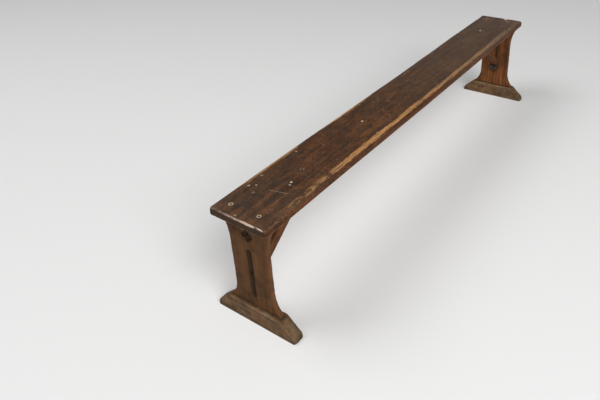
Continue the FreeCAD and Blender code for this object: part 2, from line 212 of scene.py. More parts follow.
class ShaderWriter(NodeWriter):
    """Writes one material."""

    def __init__(self, name: str) -> None:
        """Make an empty material with this name."""
        self.material = bpy.data.materials.new(name)
        self.material.use_nodes = True
        super().__init__(self.material.node_tree)
        self.place = self.add("ShaderNodeTexCoord").outputs["Object"]
        self.x, self.y, self.z = self.add("ShaderNodeSeparateXYZ", {0: self.place}).outputs

    def mapped(self, vector: Any, turn: Sequence[float] = (0, 0, 0), scale: Sequence[float] = (1, 1, 1),
               shift: Sequence[float] = (0, 0, 0)) -> Any:
        """Scale, turn and shift a place, in that order.

        Args:
            vector: the place.
            turn: the turn about each axis, in radians.
            scale: how much each axis is scaled.
            shift: how far the place is moved.

        Returns:
            The output that holds the new place.
        """
        inputs = {"Vector": vector, "Rotation": tuple(turn), "Scale": tuple(scale), "Location": tuple(shift)}
        return self.add("ShaderNodeMapping", inputs).outputs[0]

    def noise(self, vector: Any, size: float, detail: float = 3.0, roughness: float = 0.5,
              bend: float = 0.0) -> Any:
        """A noise from 0 to 1.

        Args:
            vector: the place that it follows.
            size: how wide its features are, in metres.
            detail: how many finer layers it has.
            roughness: how strong those are.
            bend: how much it is distorted.

        Returns:
            The output that holds the noise.
        """
        inputs = {"Vector": vector, "Scale": 1.0 / size, "Detail": detail, "Roughness": roughness,
                  "Distortion": bend}
        return self.add("ShaderNodeTexNoise", inputs).outputs[0]

    def stretched(self, along: float, size: float, detail: float = 3.0, roughness: float = 0.5,
                  bend: float = 0.0) -> Any:
        """A noise drawn out along the seat, the more so the smaller along is."""
        return self.noise(self.mapped(self.place, scale=(along, 1, 1)), size, detail, roughness, bend)

    def mix(self, factor: Any, first: Any, second: Any, blend: str = "MIX") -> Any:
        """Blend two colours.

        Args:
            factor: how much of the second shows.
            first: a colour or an output.
            second: a colour or an output.
            blend: Blender's name for the way of blending.

        Returns:
            The output that holds the colour.
        """
        node = self.add("ShaderNodeMix", data_type="RGBA", blend_type=blend)
        self.feed(node.inputs[0], factor)
        for socket, value in ((node.inputs[6], first), (node.inputs[7], second)):
            self.feed(socket, (*value, 1.0) if isinstance(value, tuple) else value)
        return node.outputs[2]

    def shaded(self, share: Any, colour: Any, value: Any) -> Any:
        """Lighten and darken a colour by a number round 1."""
        grey = self.add("ShaderNodeCombineColor", {0: value, 1: value, 2: value}).outputs[0]
        return self.mix(share, colour, grey, "MULTIPLY")

    def attribute(self, name: str) -> Any:
        """A number stored on the mesh."""
        return self.add("ShaderNodeAttribute", attribute_name=name).outputs["Fac"]

    def marks(self, angle: float, length: float, width: float, share: float, seed: float) -> Any:
        """Short straight marks on a level face, strewn at random.

        Args:
            angle: which way they run, in radians from X.
            length: the spacing along a mark.
            width: the spacing across the marks.
            share: the part of the cells that hold a mark.
            seed: moves the pattern.

        Returns:
            The output that is 1 on a mark.
        """
        wander = self.add("ShaderNodeTexNoise", {"Vector": self.place, "Scale": 150.0, "Detail": 2.0})
        bend = self.add("ShaderNodeVectorMath", {0: wander.outputs[1], 1: (6 * MM, 6 * MM, 0.0)},
                        operation="MULTIPLY")
        bent = self.add("ShaderNodeVectorMath", {0: self.place, 1: bend.outputs[0]}, operation="ADD")
        turned = self.mapped(bent.outputs[0], (0, 0, angle), shift=(seed, seed, 0))
        stretched = self.mapped(turned, scale=(1 / length, 1 / width, 1))
        cells = self.add("ShaderNodeTexVoronoi", {"Vector": stretched, "Scale": 1.0},
                         voronoi_dimensions="2D")
        inside = self.fade(cells.outputs["Distance"], 0.2, 0.1)
        red = self.add("ShaderNodeSeparateColor", {0: cells.outputs["Color"]}).outputs[0]
        chosen = self.fade(red, 1 - share, 1 - share * 0.6)
        return self.times(inside, chosen)

    def surface(self, colour: Any, roughness: Any, specular: float, height: Any = None,
                relief: float = 0.0, metallic: float = 0.0, coat: Any = 0.0,
                coat_roughness: float = 0.25) -> bpy.types.Material:
        """End the material in a shader.

        Args:
            colour: the base colour.
            roughness: from 0, polished, to 1, dull.
            specular: the shader's specular level.
            height: the relief's height, from 0 to 1.
            relief: the relief's depth in metres.
            metallic: 1 on metal.
            coat: the weight of the clear varnish coat.
            coat_roughness: how dull that coat is.

        Returns:
            The finished material.
        """
        shader = self.add("ShaderNodeBsdfPrincipled")
        self.feed(shader.inputs["Base Color"], colour)
        self.feed(shader.inputs["Roughness"], roughness)
        shader.inputs["Specular IOR Level"].default_value = specular
        shader.inputs["Metallic"].default_value = metallic
        self.feed(shader.inputs["Coat Weight"], coat)
        shader.inputs["Coat Roughness"].default_value = coat_roughness
        if height is not None:
            bump = self.add("ShaderNodeBump", {"Height": height, "Distance": relief, "Strength": 1.0})
            self.feed(shader.inputs["Normal"], bump.outputs[0])
        output = self.add("ShaderNodeOutputMaterial")
        self.tree.links.new(shader.outputs[0], output.inputs["Surface"])
        return self.material


class GeometryWriter(NodeWriter):
    """Writes one Geometry Nodes tree with named inputs, and bakes it to a plain mesh."""

    def __init__(self, name: str) -> None:
        """Make an empty tree with a geometry input and output."""
        super().__init__(bpy.data.node_groups.new(name, "GeometryNodeTree"))
        self.tree.interface.new_socket("Geometry", in_out="INPUT", socket_type="NodeSocketGeometry")
        self.tree.interface.new_socket("Geometry", in_out="OUTPUT", socket_type="NodeSocketGeometry")
        self.entry = self.add("NodeGroupInput")
        self.values: dict[str, Any] = {}

    def take(self, name: str, kind: str, value: Any) -> Any:
        """Add a named input.

        Args:
            name: the input's name.
            kind: the socket type, such as Float, Int, Object or Material.
            value: what the input is set to before the tree first runs.

        Returns:
            The output of the group's entry that holds it.
        """
        socket = self.tree.interface.new_socket(name, in_out="INPUT", socket_type=f"NodeSocket{kind}")
        self.values[socket.identifier] = value
        return self.entry.outputs[name]

    def close(self, geometry: Any, material: bpy.types.Material) -> None:
        """End the tree: realize what is instanced, then set the material.

        Args:
            geometry: what the tree has made.
            material: the finish of all of it.
        """
        finish = self.take("Material", "Material", material)
        real = self.add("GeometryNodeRealizeInstances", {0: geometry})
        dressed = self.add("GeometryNodeSetMaterial", {"Geometry": real.outputs[0], "Material": finish})
        leave = self.add("NodeGroupOutput")
        self.tree.links.new(dressed.outputs[0], leave.inputs[0])

    def bake(self, name: str, places: Sequence[Vector] = ()) -> bpy.types.Object:
        """Run the tree once and keep its result as a plain mesh.

        Args:
            name: the new piece's name.
            places: points that the tree starts from.

        Returns:
            The new piece.
        """
        start = bpy.data.meshes.new(f"{name}_places")
        start.from_pydata([tuple(place) for place in places], [], [])
        host = bpy.data.objects.new(f"{name}_host", start)
        bpy.context.collection.objects.link(host)
        modifier = host.modifiers.new("nodes", "NODES")
        modifier.node_group = self.tree
        for identifier, value in self.values.items():
            modifier[identifier] = value
        piece = plain_copy(host, name)
        drop(host)
        return piece


# ---------------------------------------------------------------------------
# Mesh helpers
# ---------------------------------------------------------------------------


def plain_copy(source: bpy.types.Object, name: str) -> bpy.types.Object:
    """A new object that holds the evaluated mesh of another, with no modifiers.

    Args:
        source: the object to evaluate.
        name: the new object's name.

    Returns:
        The new object, in the scene.
    """
    graph = bpy.context.evaluated_depsgraph_get()
    mesh = bpy.data.meshes.new_from_object(source.evaluated_get(graph), preserve_all_data_layers=True,
                                           depsgraph=graph)
    mesh.name = name
    copy = bpy.data.objects.new(name, mesh)
    bpy.context.collection.objects.link(copy)
    return copy


def drop(*objects: bpy.types.Object) -> None:
    """Remove helper objects from the file."""
    for helper in objects:
        bpy.data.objects.remove(helper, do_unlink=True)


def poly_curve(name: str, points: Sequence[Sequence[float]]) -> bpy.types.Object:
    """A helper curve that runs straight from point to point.

    Args:
        name: the helper's name.
        points: the places that it joins.

    Returns:
        The helper, in the scene.
    """
    curve = bpy.data.curves.new(name, "CURVE")
    curve.dimensions = "3D"
    spline = curve.splines.new("POLY")
    spline.points.add(len(points) - 1)
    for target, place in zip(spline.points, points):
        target.co = (*place, 1.0)
    helper = bpy.data.objects.new(name, curve)
    bpy.context.collection.objects.link(helper)
    return helper


def smooth_by_angle(piece: bpy.types.Object, degrees: float = 35.0) -> None:
    """Shade a piece smooth, with its sharper edges kept."""
    piece.data.shade_smooth()
    piece.data.set_sharp_from_angle(angle=math.radians(degrees))


def face_outwards(piece: bpy.types.Object) -> None:
    """Merge doubles and make every face of a closed piece point outwards.

    Args:
        piece: the object whose mesh is changed.
    """
    work = bmesh.new()
    work.from_mesh(piece.data)
    bmesh.ops.remove_doubles(work, verts=work.verts, dist=0.02 * MM)
    bmesh.ops.recalc_face_normals(work, faces=work.faces)
    work.to_mesh(piece.data)
    work.free()


def modified(piece: bpy.types.Object, kind: str, **settings: Any) -> bpy.types.Object:
    """Put one modifier on a piece and bake it in.

    Args:
        piece: the object to change. It is replaced.
        kind: Blender's name for the modifier type.
        settings: the modifier's properties.

    Returns:
        The changed piece, with the old one's name.
    """
    modifier = piece.modifiers.new(kind.lower(), kind)
    for name, value in settings.items():
        setattr(modifier, name, value)
    name = piece.name
    piece.name = f"{name}_before"
    result = plain_copy(piece, name)
    drop(piece)
    return result


def rod(work: bmesh.types.BMesh, centre: Vector, radius: float, height: float, sides: int = 48) -> None:
    """Add an upright closed cylinder to a mesh, centred on a point."""
    bmesh.ops.create_cone(work, cap_ends=True, segments=sides, radius1=radius, radius2=radius,
                          depth=height, matrix=Matrix.Translation(centre))


def bar(work: bmesh.types.BMesh, low: Vector, high: Vector) -> None:
    """Add a closed box to a mesh, between two corners.

    Args:
        work: the mesh to add to.
        low: the box's lowest corner.
        high: the box's highest corner.
    """
    size = high - low
    matrix = Matrix.Translation((low + high) / 2) @ Matrix.Diagonal((*size, 1.0))
    bmesh.ops.create_cube(work, size=1.0, matrix=matrix)


def helper_mesh(name: str, work: bmesh.types.BMesh) -> bpy.types.Object:
    """Put a finished work mesh in the scene as a helper object.

    Args:
        name: the helper's name.
        work: the mesh, which is freed.

    Returns:
        The helper, in the scene.
    """
    mesh = bpy.data.meshes.new(name)
    work.to_mesh(mesh)
    work.free()
    helper = bpy.data.objects.new(name, mesh)
    bpy.context.collection.objects.link(helper)
    return helper


def dressed(piece: bpy.types.Object, finish: bpy.types.Material, slot: str, *nodes: str) -> None:
    """Give a new piece its finish, hang it on the bench's body and hide the frame's nodes that it replaces.

    Args:
        piece: the finished mesh.
        finish: its material.
        slot: the record's material slot; not used.
        nodes: the frame's nodes that it replaces.
    """
    piece.data.materials.clear()
    piece.data.materials.append(finish)
    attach(piece, BODY)
    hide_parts(*nodes)
    LOG.info("%s: %d faces for %s", piece.name, len(piece.data.polygons), ", ".join(nodes))


# ---------------------------------------------------------------------------
# Finishes
# ---------------------------------------------------------------------------


@dataclass(frozen=True)
class WoodFinish:
    """Stained and varnished plank wood, worn along its edges.

    A place set to NOWHERE turns off what happens there.
    """

    name: str
    deep: Colour
    body: Colour
    bare: Colour
    # dirt, also laid as painted shade in the hollows and under the seat
    dirt: Colour
    grain: Grain
    roughness: float = 0.5
    specular: float = 0.3
    wear: float = 0.55
    contrast: float = 0.7
    streak: float = 22 * MM
    arris_share: float = 0.5
    worn_until: float = NOWHERE
    side_tint: Colour = (1.0, 1.0, 1.0)
    outside: Colour = (1.0, 1.0, 1.0)
    outside_from: float = NOWHERE
    # painted shade in the sunk slot and quatrefoil
    shade: Colour = (0.024, 0.014, 0.006)
    sunk_from: float = NOWHERE
    sunk_half: float = 26 * MM
    joint_z: float = NOWHERE
    # where the painted shade under the seat begins
    grime_from: float = NOWHERE
    toe: Colour = (0.14, 0.092, 0.048)
    toe_from: float = NOWHERE
    toe_middle: float = 0.0
    dust: Colour = (0.16, 0.13, 0.1)
    dust_share: float = 0.0

    def figure(self, shader: ShaderWriter) -> tuple[Any, Any, Any]:
        """The grain: broad streaks, fine fibres and pores.

        Args:
            shader: the material being written.

        Returns:
            Three outputs from 0 to 1: streaks, fibres and pores.
        """
        turned = shader.mapped(shader.place, self.grain.value)
        long = shader.mapped(turned, scale=(0.07, 1, 1))
        longer = shader.mapped(turned, scale=(0.035, 1, 1))
        streaks = shader.noise(long, self.streak, 4, 0.6, 1.2)
        fibres = shader.noise(longer, 2.2 * MM, 3, 0.7)
        pores = shader.fade(shader.noise(longer, 0.9 * MM, 2, 0.8), 0.6, 0.72)
        return streaks, fibres, pores

    def off_middle(self, shader: ShaderWriter) -> Any:
        """How far a place is from the middle of the foot's thickness."""
        return shader.size_of(shader.minus(shader.size_of(shader.x), self.toe_middle))

    def sunk(self, shader: ShaderWriter) -> Any:
        """Find where the slot and the quatrefoil are sunk in the face.

        Args:
            shader: the material being written.

        Returns:
            The output that is 1 below the face.
        """
        out = shader.size_of(shader.x)
        below = shader.times(shader.fade(out, self.sunk_from, self.sunk_from - 2 * MM),
                             shader.fade(out, self.sunk_from - 13 * MM, self.sunk_from - 10 * MM))
        return shader.times(below, shader.math("LESS_THAN", shader.size_of(shader.y), self.sunk_half))

    def joint(self, shader: ShaderWriter) -> Any:
        """Find the joint between a foot and its panel, where soil lies.

        Args:
            shader: the material being written.

        Returns:
            The output that is near 1 along the joint.
        """
        level = shader.size_of(shader.minus(shader.z, self.joint_z))
        return shader.times(shader.fade(level, 6 * MM, 1.5 * MM),
                            shader.fade(self.off_middle(shader), 16 * MM, 12 * MM, 0, 0.85))

    def toe_patch(self, shader: ShaderWriter) -> Any:
        """Find where shoes have rubbed the middle of the toes pale.

        Args:
            shader: the material being written.

        Returns:
            The output that is near 1 on a rubbed toe.
        """
        aside = shader.fade(shader.size_of(shader.y), self.toe_from, self.toe_from + 12 * MM)
        inside = shader.fade(self.off_middle(shader), 20 * MM, 9 * MM)
        high = shader.fade(shader.z, 18 * MM, 34 * MM)
        rubbed = shader.fade(shader.noise(shader.place, 12 * MM, 4, 0.65), 0.36, 0.64, 0.1, 0.85)
        return shader.times(inside, aside, high, rubbed)

    def worn(self, shader: ShaderWriter) -> Any:
        """Find where the arrises are worn through the stain.

        Args:
            shader: the material being written.

        Returns:
            The output that is 1 on worn wood.
        """
        ragged = shader.fade(shader.noise(shader.place, 9 * MM, 4, 0.65), 0.25, 0.75, -0.35, 0.35)
        arris = shader.plus(shader.attribute("arris"), ragged)
        reach = shader.fade(shader.size_of(shader.y), self.worn_until, self.worn_until - 8 * MM, 0.15, 1.0)
        return shader.times(shader.fade(arris, 1 - self.wear, 1.25 - self.wear), reach)

    def stained(self, shader: ShaderWriter, streaks: Any, fibres: Any, patches: Any) -> Any:
        """Colour the grain, then turn it on the outer face and the sides, and paint shade into what is sunk.

        Args:
            shader: the material being written.
            streaks: the grain's broad streaks.
            fibres: the grain's fine fibres.
            patches: where soil has worked in.

        Returns:
            The output that holds the colour.
        """
        half = self.contrast / 2
        colour = shader.mix(shader.fade(streaks, *MIDDLE, 0.5 - half, 0.5 + half), self.deep, self.body)
        colour = shader.shaded(0.55, colour, shader.fade(fibres, 0.2, 0.8, 0.55, 1.3))
        colour = shader.mix(shader.fade(patches, 0.42, 0.72, 0.0, 0.75), colour, self.dirt)
        outer = shader.math("GREATER_THAN", shader.size_of(shader.x), self.outside_from)
        sideways = shader.fade(shader.attribute("sideways"), 0.55, 0.8)
        for where, tint in ((outer, self.outside), (sideways, self.side_tint)):
            colour = shader.mix(where, colour, shader.mix(1.0, colour, tint, "MULTIPLY"))
        # painted shade in the sunk slot and quatrefoil
        return shader.mix(self.sunk(shader), colour, self.shade)

    def rubbed(self, shader: ShaderWriter, colour: Any, worn: Any, fibres: Any) -> Any:
        """Show bare wood on the worn arrises and the rubbed toes.

        Args:
            shader: the material being written.
            colour: the colour so far.
            worn: where the arrises are worn.
            fibres: the grain's fine fibres.

        Returns:
            The output that holds the colour.
        """
        broken = shader.fade(shader.noise(shader.place, 30 * MM, 3, 0.6), 0.35, 0.65, 0.3, 1.0)
        wood = shader.mix(shader.fade(fibres, *MIDDLE), self.bare, self.body)
        colour = shader.mix(shader.times(worn, broken, self.arris_share), colour, wood)
        return shader.mix(self.toe_patch(shader), colour, self.toe)

    def soiled(self, shader: ShaderWriter, colour: Any, patches: Any) -> Any:
        """Darken the toes towards the floor, lay dirt in the joints, dirt and painted shade in the hollows,
        and patchy painted shade under the seat, then dust over all.

        Args:
            shader: the material being written.
            colour: the colour so far.
            patches: where soil has worked in.

        Returns:
            The output that holds the colour.
        """
        aside = shader.fade(shader.size_of(shader.y), self.toe_from, self.toe_from + 35 * MM)
        sole = shader.times(shader.fade(shader.z, 32 * MM, 4 * MM, 0.0, 0.8), aside)
        # patchy painted shade under the seat's overhang
        seat_shade = shader.times(shader.fade(shader.z, self.grime_from, self.grime_from + 40 * MM),
                             shader.fade(patches, 0.3, 0.6, 0.35, 0.85))
        # dirt and painted shade in the hollows, where shade falls
        hollow = shader.fade(shader.attribute("hollow"), 0.08, 0.6, 0.0, 0.8)
        for soil in (sole, self.joint(shader), seat_shade, hollow):
            colour = shader.mix(soil, colour, self.dirt)
        dust = shader.noise(shader.place, 30 * MM, 5, 0.65)
        return shader.mix(shader.fade(dust, 0.35, 0.75, 0.0, self.dust_share), colour, self.dust)

    def material(self) -> bpy.types.Material:
        """Write the finish as a material.

        Returns:
            The finished material.
        """
        shader = ShaderWriter(self.name)
        streaks, fibres, pores = self.figure(shader)
        patches = shader.noise(shader.place, 75 * MM, 4, 0.6)
        worn = self.worn(shader)
        colour = self.stained(shader, streaks, fibres, patches)
        colour = self.rubbed(shader, colour, worn, fibres)
        colour = self.soiled(shader, colour, patches)
        dull = shader.fade(patches, *MIDDLE, self.roughness - 0.08, self.roughness + 0.1)
        height = shader.minus(fibres, shader.times(pores, 0.8))
        return shader.surface(colour, shader.plus(dull, shader.times(worn, 0.15)), self.specular, height,
                              0.25 * MM)


@dataclass(frozen=True)
class SeatFinish(WoodFinish):
    """Old dark seat varnish: scratched, dusted and rubbed to bare wood along one edge, with a painted
    highlight on the left end's nose and painted reflection in its grey film towards the right end.

    Stops are pairs of x in metres and a share, from the left end to the right.
    """

    half_length: float = 1.0
    half_width: float = 0.1
    top: float = 0.45
    thickness: float = 0.03
    margin: float = 28 * MM
    coat_roughness: float = 0.28
    scratch: Colour = (0.17, 0.105, 0.07)
    fleck: Colour = (0.6, 0.49, 0.37)
    # grey varnish film, partly painted reflection towards the right end
    film: Colour = (0.1, 0.082, 0.06)
    side: Colour = (0.115, 0.034, 0.009)
    # pale rubbed wood and painted highlight along the left end's nose
    rubbed_end: Colour = (0.62, 0.47, 0.39)
    chipped: tuple[Place, ...] = (
        (-0.36, 0.012, 5 * MM), (-0.844, -0.02, 4 * MM), (-0.919, 0.07, 3 * MM), (0.834, 0.023, 6 * MM),
        (1.072, -0.03, 10 * MM), (-0.68, 0.09, 3 * MM))
    long_scratch: tuple[Place, Place] = ((-0.92, 0.02, 0.0), (-0.899, -0.062, 0.0))
    scratches: tuple[tuple[float, float, float, float, float], ...] = (
        (0.05, 70 * MM, 4 * MM, 0.25, 0.0), (-0.35, 55 * MM, 4 * MM, 0.2, 3.1),
        (0.9, 50 * MM, 5 * MM, 0.15, 5.7), (1.5, 40 * MM, 5 * MM, 0.1, 8.3))
    front_bare: Stops = ((-1.04, 0.0), (-0.98, 0.3), (-0.76, 0.36), (-0.745, 0.25), (-0.73, 0.35),
                         (-0.705, 0.95), (-0.35, 0.85), (-0.1, 0.75), (0.2, 0.65), (0.6, 0.5), (1.0, 0.36))
    back_bare: Stops = ((-1.05, 0.5), (-0.97, 0.25), (-0.9, 0.85), (-0.7, 0.75), (-0.55, 0.25),
                        (-0.34, 0.9), (-0.18, 0.8), (-0.1, 0.2), (0.5, 0.25), (1.0, 0.35))
    # how grey the bare strip turns: partly painted reflection towards the right end
    bare_greyed: Stops = ((-1.0, 0.3), (-0.72, 0.25), (-0.6, 0.05), (-0.2, 0.1), (0.2, 0.35), (0.6, 0.6),
                          (1.0, 0.85))
    mottled: Stops = ((-1.0, 0.85), (-0.75, 0.6), (-0.4, 0.6), (0.2, 0.4), (1.0, 0.4))
    # how thick the grey film lies: partly painted reflection that grows towards the right end
    filmed: Stops = ((-1.05, 0.22), (-0.85, 0.1), (-0.6, 0.0), (-0.2, 0.05), (0.3, 0.25), (1.0, 0.3))
    flecked: Stops = ((-1.0, 0.7), (-0.75, 0.6), (-0.55, 0.3), (-0.3, 0.4), (1.0, 0.3))
    scuffed: Stops = ((-1.08, 0.7), (-0.8, 0.5), (-0.4, 0.25), (0.2, 0.3), (1.0, 0.35))
    polished: Stops = ((-1.0, 1.0), (0.0, 0.75), (1.0, 0.5))

    def along(self, shader: ShaderWriter, stops: Stops) -> Any:
        """A value that follows the length of the seat.

        Args:
            shader: the material being written.
            stops: what the value is at each place.

        Returns:
            The output that holds the value.
        """
        share = shader.fade(shader.x, -self.half_length, self.half_length)
        share.node.interpolation_type = "LINEAR"
        ramp = shader.add("ShaderNodeValToRGB", {0: share})
        while len(ramp.color_ramp.elements) < len(stops):
            ramp.color_ramp.elements.new(0.5)
        for element, (place, value) in zip(ramp.color_ramp.elements, stops):
            element.position = (place + self.half_length) / (2 * self.half_length)
            element.color = (value, value, value, 1)
        return ramp.outputs[0]

    def bare_wood(self, shader: ShaderWriter) -> Any:
        """Find where the varnish is gone: the front margin, the back edge and the arrises.

        Args:
            shader: the material being written.

        Returns:
            The output that is 1 on bare wood.
        """
        front = shader.plus(shader.y, self.half_width)
        back = shader.minus(self.half_width, shader.y)
        end = shader.minus(self.half_length, shader.size_of(shader.x))
        below = shader.minus(self.top, shader.z)
        above = shader.minus(shader.z, self.top - self.thickness)
        slow = shader.fade(shader.stretched(0.25, 30 * MM, 3), 0.2, 0.8, -4 * MM, 4 * MM)
        ragged = shader.fade(shader.stretched(0.2, 4 * MM, 4, 0.75), 0.25, 0.75, -5 * MM, 5 * MM)
        blotch = shader.stretched(0.35, 12 * MM, 5, 0.7)
        margin = shader.times(
            shader.fade(shader.plus(front, slow, ragged), self.margin, self.margin - 4 * MM),
            shader.fade(shader.plus(shader.minus(front, below), ragged), 2 * MM, 8 * MM))
        share = self.along(shader, self.front_bare)
        patchy = shader.fade(shader.plus(blotch, share), 0.8, 0.92)
        strip = shader.times(margin, shader.plus(shader.times(patchy, 0.8), shader.times(share, 0.2)))
        rim = shader.fade(shader.plus(back, below, ragged), 17 * MM, 11 * MM)
        rear = shader.times(rim, shader.fade(
            shader.plus(blotch, self.along(shader, self.back_bare)), 0.95, 1.25))
        nearest = shader.math("MINIMUM", shader.math("MINIMUM", front, back), end)
        nose = shader.fade(shader.plus(nearest, below, ragged), 5 * MM, 1 * MM, 0.0, 0.35)
        lower = shader.fade(shader.plus(above, shader.times(ragged, 0.4)), 4 * MM, 2 * MM, 0.0, 0.6)
        return shader.most(strip, rear, nose, lower)

    def end_rub(self, shader: ShaderWriter) -> Any:
        """Find the pale line on the left end's upper arris: rubbed wood and a painted highlight, brightest
        towards the front.

        Args:
            shader: the material being written.

        Returns:
            The output that is near 1 where it is rubbed.
        """
        near = shader.plus(shader.plus(shader.x, self.half_length), shader.minus(self.top, shader.z))
        across = shader.mapped(shader.place, scale=(1, 0.15, 1))
        ragged = shader.fade(shader.noise(across, 5 * MM, 4, 0.7), 0.25, 0.75, -1 * MM, 1 * MM)
        return shader.times(shader.fade(shader.plus(near, ragged), 6.4 * MM, 5 * MM),
                            shader.fade(shader.y, 0.08, -0.06, 0.25, 0.8))

    def scratch_line(self, shader: ShaderWriter) -> Any:
        """Draw the one long scratch.

        Args:
            shader: the material being written.

        Returns:
            The output that is above 0 on the scratch.
        """
        start, end = (Vector(place) for place in self.long_scratch)
        lean = end - start
        offset = shader.add("ShaderNodeVectorMath", {0: shader.place, 1: tuple(start)}, operation="SUBTRACT")
        along, aside = (shader.add("ShaderNodeVectorMath", {0: offset.outputs[0], 1: tuple(way)},
                                   operation="DOT_PRODUCT").outputs["Value"]
                        for way in (lean.normalized(), Vector((lean.y, -lean.x, 0)).normalized()))
        middle = shader.size_of(shader.minus(along, lean.length / 2))
        return shader.times(shader.fade(shader.size_of(aside), 1.6 * MM, 0.7 * MM),
                            shader.fade(middle, lean.length / 2, lean.length * 0.3, 0.0, 0.3))

    def flecks(self, shader: ShaderWriter) -> Any:
        """Draw pale chips in the varnish and one long scratch.

        Args:
            shader: the material being written.

        Returns:
            The output that is 1 on a chip.
        """
        chips = shader.marks(0.5, 30 * MM, 24 * MM, 0.06, 2.3)
        rough = shader.fade(shader.noise(shader.place, 5 * MM, 4, 0.75), 0.42, 0.55)
        chips = shader.times(chips, rough, self.along(shader, self.flecked))
        ragged = shader.fade(rough, 0.0, 1.0, 1.5 * MM, -1.5 * MM)
        for x, y, radius in self.chipped:
            off = shader.add("ShaderNodeVectorMath", {0: shader.place, 1: (x, y, self.top)},
                             operation="DISTANCE").outputs["Value"]
            chips = shader.most(chips, shader.fade(shader.plus(off, ragged), radius, radius - 1.5 * MM))
        return shader.most(chips, self.scratch_line(shader))

    def scuffs(self, shader: ShaderWriter) -> Any:
        """Strew short scratches, thickest towards the left end.

        Args:
            shader: the material being written.

        Returns:
            The output that is near 1 on a scratch.
        """
        total = shader.most(0.0, *(shader.marks(*scratch) for scratch in self.scratches))
        return shader.times(total, self.along(shader, self.scuffed))

    def varnished(self, shader: ShaderWriter, streaks: Any, fibres: Any, below: Any) -> Any:
        """Colour the varnish: dark grain, a redder side, mottle and speckle.

        Args:
            shader: the material being written.
            streaks: the grain's broad streaks.
            fibres: the grain's fine fibres.
            below: how far a place is below the top.

        Returns:
            The output that holds the colour.
        """
        colour = shader.mix(shader.fade(streaks, *MIDDLE), self.deep, self.body)
        patches = shader.stretched(0.5, 50 * MM, 4, 0.6)
        colour = shader.mix(shader.fade(patches, 0.45, 0.75, 0.0, 0.7), colour, self.dirt)
        colour = shader.shaded(0.35, colour, shader.fade(fibres, 0.2, 0.8, 0.6, 1.35))
        side = shader.mix(shader.fade(streaks, *MIDDLE), self.side, self.deep)
        colour = shader.mix(shader.fade(below, 6 * MM, 11 * MM, 0.0, 0.8), colour, side)
        mottle = shader.fade(shader.stretched(0.7, 32 * MM, 5, 0.62, 0.3), 0.33, 0.67, 0.55, 1.45)
        colour = shader.shaded(self.along(shader, self.mottled), colour, mottle)
        speckle = shader.fade(shader.stretched(0.6, 6 * MM, 4, 0.75), 0.34, 0.66, 0.35, 1.7)
        return shader.shaded(0.7, colour, speckle)

    def marked(self, shader: ShaderWriter, colour: Any, below: Any) -> Any:
        """Lay a grey film, dirty ends, scratches and chips over the varnish. The film is partly painted
        reflection that grows towards the right end.

        Args:
            shader: the material being written.
            colour: the colour so far.
            below: how far a place is below the top.

        Returns:
            The output that holds the colour.
        """
        upper = shader.fade(below, 8 * MM, 4 * MM)
        cloudy = shader.fade(shader.noise(shader.place, 30 * MM, 5, 0.7), 0.25, 0.75, 0.2, 1.5)
        # grey film, partly painted reflection that grows towards the right end
        film = shader.times(self.along(shader, self.filmed), cloudy)
        from_end = shader.minus(self.half_length, shader.size_of(shader.x))
        end_face = shader.times(shader.fade(from_end, 5 * MM, 1 * MM, 0.0, 0.8), shader.minus(1.0, upper))
        for share, over in ((shader.times(film, upper), self.film), (end_face, self.dirt),
                            (shader.times(self.scuffs(shader), upper), self.scratch),
                            (shader.times(self.flecks(shader), upper), self.fleck)):
            colour = shader.mix(share, colour, over)
        return colour

    def bared(self, shader: ShaderWriter, colour: Any, bare: Any) -> Any:
        """Show lined bare wood where the varnish is gone, and the left end's pale line of rubbed wood and
        painted highlight.

        Args:
            shader: the material being written.
            colour: the colour so far.
            bare: where the varnish is gone.

        Returns:
            The output that holds the colour.
        """
        lines = shader.fade(shader.stretched(0.05, 4 * MM, 4, 0.75), 0.4, 0.62)
        tan = shader.mix(lines, self.bare, tuple(0.33 * part for part in self.bare))
        # the bare strip greys towards the right end, partly as painted reflection
        tan = shader.mix(self.along(shader, self.bare_greyed), tan, tuple(1.3 * part for part in self.film))
        # the left end's pale line is rubbed wood and a painted highlight
        return shader.mix(self.end_rub(shader), shader.mix(bare, colour, tan), self.rubbed_end)

    def material(self) -> bpy.types.Material:
        """Write the finish as a material.

        Returns:
            The finished material.
        """
        shader = ShaderWriter(self.name)
        streaks, fibres, pores = self.figure(shader)
        below = shader.minus(self.top, shader.z)
        bare = self.bare_wood(shader)
        colour = self.marked(shader, self.varnished(shader, streaks, fibres, below), below)
        colour = self.bared(shader, colour, bare)
        smears = shader.fade(shader.stretched(0.3, 40 * MM, 4, 0.6), *MIDDLE, self.roughness - 0.08,
                             self.roughness + 0.1)
        height = shader.minus(shader.times(fibres, 0.6),
                              shader.plus(shader.times(pores, 0.4), shader.times(bare, 0.7)))
        polish = shader.times(shader.fade(below, 8 * MM, 5 * MM), shader.minus(0.5, shader.times(bare, 0.4)),
                              self.along(shader, self.polished))
        return shader.surface(colour, shader.plus(smears, shader.times(bare, 0.22)), self.specular, height,
                              0.3 * MM, coat=polish, coat_roughness=self.coat_roughness)


